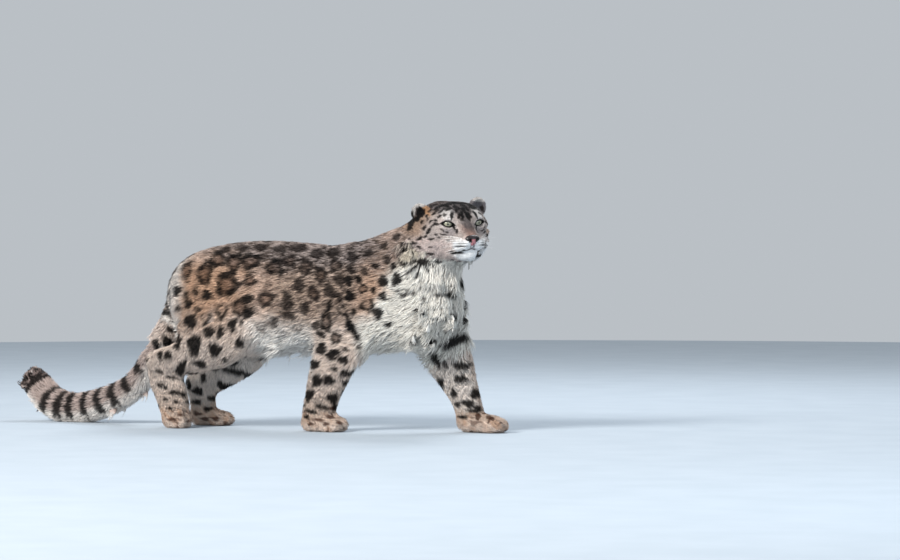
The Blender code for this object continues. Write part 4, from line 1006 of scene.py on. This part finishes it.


# The nose leather. It is a bare pad, modelled in wax over the cartilage and tinted: pink in the middle,
# black along its upper edge, with a fine pebbled grain; near-black painted shade fills the nostrils and the
# middle groove.
NOSE_GRAIN = 0.0007
pad = skin_over(["nose"], "nose_leather", NOSE_GRAIN, 4)
bpy.ops.object.shade_smooth()
points = column(pad.data.vertices, "co", 3).astype(float)
_, aside, up = ((points - middle("nose")) @ head_axes.T).T
aside = np.abs(aside)
tone = mix(np.tile(linear(178, 112, 116), (len(points), 1)), linear(30, 22, 22), ramp(0.0020, 0.0062, up))
# Painted shade in the nostrils; the outer sides of the pad are its own black
nostril_shade = ramp(0.0078, 0.0046, np.hypot(aside - 0.0105, up + 0.0005))
tone = mix(tone, linear(20, 13, 13), np.maximum(nostril_shade, ramp(0.0090, 0.0125, aside)))
# Painted shade down the groove in the middle of the pad
cleft_shade = ramp(0.0012, 0.0005, aside) * ramp(0.004, -0.002, up)
paint(pad, mix(tone, linear(60, 36, 38), cleft_shade))
leather = Finish("nose_leather")
own_space = leather.node("ShaderNodeTexCoord", output="Object")
pebble = leather.node("ShaderNodeTexVoronoi", {"feature": "SMOOTH_F1"},
                      {"Vector": own_space, "Scale": 900.0, "Smoothness": 0.4})
pad.data.materials.append(leather.set(Base_Color=dye_of(leather), Roughness=0.36, Specular_IOR_Level=0.5,
                                      Normal=leather.bump(pebble, 0.0004, 0.5)))
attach(pad, "root")
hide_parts("nose")


# The coat. Each tuft is a closed, three-sided lock of hair, set in the hide at its root. It rises,
# bends back along the lie and tapers to its tip, longest on the belly, chest, neck and tail.
LONG = ("coat_tail", "coat_neck", "coat_shoulder_right", "coat_shoulder_left")  # hair that bends twice
SIDES = {"coat_shoulder_right": -1, "coat_shoulder_left": 1}  # which half of its part it covers
GROUPS = {
    "coat_shoulder_right": ("torso_front",), "coat_shoulder_left": ("torso_front",),
    "coat_torso_middle": ("torso_middle",), "coat_torso_rear": ("torso_rear",),
    "coat_neck": ("neck",), "coat_head": ("head",), "coat_ears": ("ear_left", "ear_right"),
    "coat_forelegs": ("foreleg_left", "foreleg_right"), "coat_thighs": ("thigh_left", "thigh_right"),
    "coat_hind_legs": ("hock_left", "hock_right"), "coat_paws": PAWS,
    "coat_tail": ("tail_root", "tail_middle", "tail_bend", "tail_tip"),
}
MOST_TRIANGLES = 164000  # in one piece
ROOT_SUNK = 0.0006
PATCH = 0.0015  # half the width of a tuft's place in the unwrap

mesh = hide.data
mesh.calc_loop_triangles()
corner_of = column(mesh.loop_triangles, "vertices", 3, np.int32)
loops_of = column(mesh.loop_triangles, "loops", 3, np.int32)
unwrap = column(mesh.uv_layers["OFBake"].data, "uv", 2)
fur = Finish("fur")
fur_material = fur.set(Base_Color=dye_of(fur), Roughness=0.66, Specular_IOR_Level=0.14,
                       Normal=fur.bump(fur.noise(700.0, Detail=1.0), 0.0006, 0.35))


def tufts(name, nodes, seed):
    """All the tufts that grow on these nodes, as one mesh."""
    draw = np.random.default_rng(seed)
    first = corner_of[:, 0]
    ours = np.isin(names[first], nodes)
    ours &= (places[first, 1] - middle(nodes[0])[1]) * SIDES.get(name, 0) >= 0
    corners, loops = corner_of[ours], loops_of[ours]
    a, b, c = (places[corners[:, k]] for k in range(3))
    flat = np.cross(b - a, c - a)
    area = np.linalg.norm(flat, axis=1) / 2
    size = coat[corners].mean(1)
    wanted = area * size[:, 3] / (size[:, 1] * size[:, 2] * 0.6e-6)
    wanted *= (unit(flat) * unit(stands[corners].mean(1))).sum(1) > 0.45  # none in a fold
    stations, thick = ((0.0, 0.36, 0.70), (0.75, 1.0, 0.72)) if name in LONG else ((0.0, 0.48), (0.8, 1.0))
    rings = len(stations)
    each = 6 * (rings - 1) + 4
    total = int(min(wanted.sum(), MOST_TRIANGLES // each))
    steps = (np.arange(total) + draw.uniform(0, 1, total)) / total
    face = np.searchsorted(np.cumsum(wanted) / wanted.sum(), steps).clip(0, len(corners) - 1)
    u, v = np.sqrt(draw.uniform(0, 1, total)), draw.uniform(0, 1, total)
    share = np.stack((1 - u, u * (1 - v), u * v), 1)[:, :, None]

    def at(values):
        return (values[corners[face]] * share).sum(1)

    root, normal, way = at(places), unit(at(stands)), unit(at(lie))
    high, long, wide, _ = at(coat).T / 1000
    uv = (unwrap[loops[face]] * share).sum(1)
    clump, toss = ripple(root, 0.030, 21), ripple(root, 0.021, 22)
    yaw = (0.18 if name == "coat_tail" else 0.30) * clump + draw.normal(0, 0.14, total)
    across = np.cross(normal, way)
    way = unit(way * np.cos(yaw)[:, None] + across * np.sin(yaw)[:, None])
    across = unit(np.cross(normal, way) + 1e-4)
    long = long * draw.uniform(0.75, 1.2, total)
    high = high * (0.80 + 0.18 * toss + draw.uniform(-0.16, 0.16, total))
    wide = wide * draw.uniform(0.7, 1.25, total)
    node_kind = kinds[corners[face, 0]]
    light = draw.uniform(0.84, 1.14, total)[:, None]
    sag = np.where(np.isin(node_kind, ("torso", "neck")), 0.10, 0.04)[:, None] * long[:, None]
    points, colours = [], []
    for t, share_wide in zip((*stations, 1.0), (*thick, 0.0)):
        lift = high * math.sin(t * math.pi / 2) ** 0.9 - ROOT_SUNK * (t == 0)
        centre = root + way * (long * t)[:, None] + normal * lift[:, None]
        centre[:, 2] -= (sag * t * t)[:, 0]
        # Painted shade: each tuft is darker towards its root, where the coat above shades it, times its own
        # random tone
        shade = light * (0.74 + 0.26 * min(1.0, t * 1.8))  # darker at the root
        tone = dyed(root + way * (long * t * 0.94)[:, None], normal, node_kind) * shade
        half = (wide * share_wide / 2)[:, None]
        for side, up in ((-1.0, 0.0), (1.0, 0.0), (0.0, 0.62)) if t < 1.0 else ((0.0, 0.0),):
            points.append(centre + across * half * side + normal * half * up)
            colours.append(tone)
    per = len(points)
    points = np.stack(points, 1).reshape(-1, 3)
    colours = np.clip(np.stack(colours, 1).reshape(-1, 3), 0.002, 0.95)
    points[:, 2] = np.maximum(points[:, 2], SOLE + 0.0002)
    form = [(0, 2, 1)]
    for ring in range(rings - 1):
        k = 3 * ring
        form += [(k + i, k + j, k + 3 + j) for i, j in ((0, 1), (1, 2), (2, 0))]
        form += [(k + i, k + 3 + j, k + 3 + i) for i, j in ((0, 1), (1, 2), (2, 0))]
    k = 3 * (rings - 1)
    form += [(k + i, k + j, per - 1) for i, j in ((0, 1), (1, 2), (2, 0))]
    form = np.array(form)
    faces = (form[None] + per * np.arange(total)[:, None, None]).reshape(-1, 3)
    made = bpy.data.meshes.new(name)
    made.vertices.add(len(points))
    made.vertices.foreach_set("co", points.astype(np.float32).ravel())
    made.loops.add(len(faces) * 3)
    made.loops.foreach_set("vertex_index", faces.astype(np.int32).ravel())
    made.polygons.add(len(faces))
    made.polygons.foreach_set("loop_start", np.arange(0, len(faces) * 3, 3, dtype=np.int32))
    made.update(calc_edges=True)
    obj = bpy.data.objects.new(name, made)
    bpy.context.scene.collection.objects.link(obj)
    paint(obj, colours)
    layer = made.uv_layers.new(name="OFBake")
    spots = np.linspace(0, 2 * math.pi, per, endpoint=False)
    patch = np.stack((np.cos(spots), np.sin(spots)), 1) * PATCH
    spots = (uv[:, None] + patch[None]).reshape(-1, 2)[faces.ravel()]
    layer.data.foreach_set("uv", np.clip(spots, 0.0, 1.0).astype(np.float32).ravel())
    made.materials.append(fur_material)
    made.shade_smooth()
    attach(obj, "root")


for seed, (name, nodes) in enumerate(GROUPS.items()):
    tufts(name, nodes, 100 + seed)


# The whiskers. They are stiff white bristles, thick at the root and tapering to nothing, set in four
# rows in each lip pad.
ROWS, IN_A_ROW = 4, 4
ROOT_THICK, TIP_THICK = 0.00042, 0.00010

draw = np.random.default_rng(7)
bm = bmesh.new()
for other_side in (False, True):
    for row, k in ((row, k) for row in range(ROWS) for k in range(IN_A_ROW)):
        spot = pads[0] + head_up * (0.006 - 0.0042 * row) - head_ahead * (0.002 + 0.0052 * k)
        root = np.array(hide_tree.find_nearest(Vector(spot))[0])
        way = head_up * (0.14 - 0.09 * row) - head_ahead * (0.20 + 0.10 * k) - head_left * (0.85 - 0.10 * k)
        way = unit(way)
        long = draw.uniform(0.042, 0.066)
        bend = unit(-head_up * 0.5 - head_ahead * 0.9)
        rings = []
        for t in np.linspace(0.0, 1.0, 9):
            centre = root + way * long * t + bend * long * 0.22 * t * t - way * 0.002 * (t == 0)
            centre = mirrored(centre) if other_side else centre
            thick = ROOT_THICK * (1 - t) + TIP_THICK
            turns = (0.0, 2.094, 4.189) if t < 1.0 else ()
            ring = [centre + (head_up * math.cos(a) + head_ahead * math.sin(a)) * thick for a in turns]
            rings.append([bm.verts.new(place) for place in ring or [centre]])
        bm.faces.new(rings[0])
        for a, b in zip(rings[:-1], rings[1:]):
            for i, j in ((0, 1), (1, 2), (2, 0)):
                bm.faces.new((a[i], a[j], b[j], b[i]) if len(b) > 1 else (a[i], a[j], b[0]))
bmesh.ops.recalc_face_normals(bm, faces=bm.faces)
whiskers = bpy.data.objects.new("whiskers", bpy.data.meshes.new("whiskers"))
bpy.context.scene.collection.objects.link(whiskers)
bm.to_mesh(whiskers.data)
bm.free()
bristle = Finish("bristle")
pearly = bristle.shades(bristle.noise(120.0), (0.3, (0.70, 0.68, 0.64)), (0.7, (0.88, 0.87, 0.85)))
whiskers.data.materials.append(bristle.set(Base_Color=pearly, Roughness=0.35))
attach(whiskers, "root")


# The stage. The animal stands on a wide round floor, painted a pale, cold white with a fine tooth,
# in an even sky light, with one large soft lamp above and to the left of the camera.
bpy.ops.mesh.primitive_circle_add(vertices=256, radius=7.4, fill_type="NGON", location=(aim[0], aim[1], 0.0))
floor = bpy.context.object
floor.name = "floor"
bpy.ops.object.transform_apply(location=True)
paper = Finish("paper")
tooth = paper.shades(paper.noise(6.0), (0.3, (0.40, 0.46, 0.52)), (0.7, (0.43, 0.49, 0.55)))
floor.data.materials.append(paper.set(Base_Color=tooth, Roughness=0.85))

world = bpy.data.worlds.new("studio")
bpy.context.scene.world = world
world.use_nodes = True
world.node_tree.nodes["Background"].inputs["Color"].default_value = (0.88, 0.94, 1.0, 1.0)
world.node_tree.nodes["Background"].inputs["Strength"].default_value = 0.56
bpy.context.scene.view_settings.view_transform = "Standard"


def soft_lamp(name, place, size, power, colour):
    bpy.ops.object.light_add(type="AREA", location=place)
    lamp = bpy.context.object
    lamp.name = name
    lamp.data.shape = "DISK"
    lamp.data.size, lamp.data.energy, lamp.data.color = size, power, colour
    lamp.rotation_euler = (Vector(place) - Vector((0.0, 0.0, 0.3))).to_track_quat("Z", "Y").to_euler()


soft_lamp("key", (-2.4, -7.6, 5.4), 3.4, 1180.0, (1.0, 0.97, 0.93))
soft_lamp("fill", (4.0, -2.2, 2.2), 2.4, 50.0, (0.80, 0.90, 1.0))
soft_lamp("back", (0.3, 2.6, 3.4), 2.0, 90.0, (0.93, 0.96, 1.0))
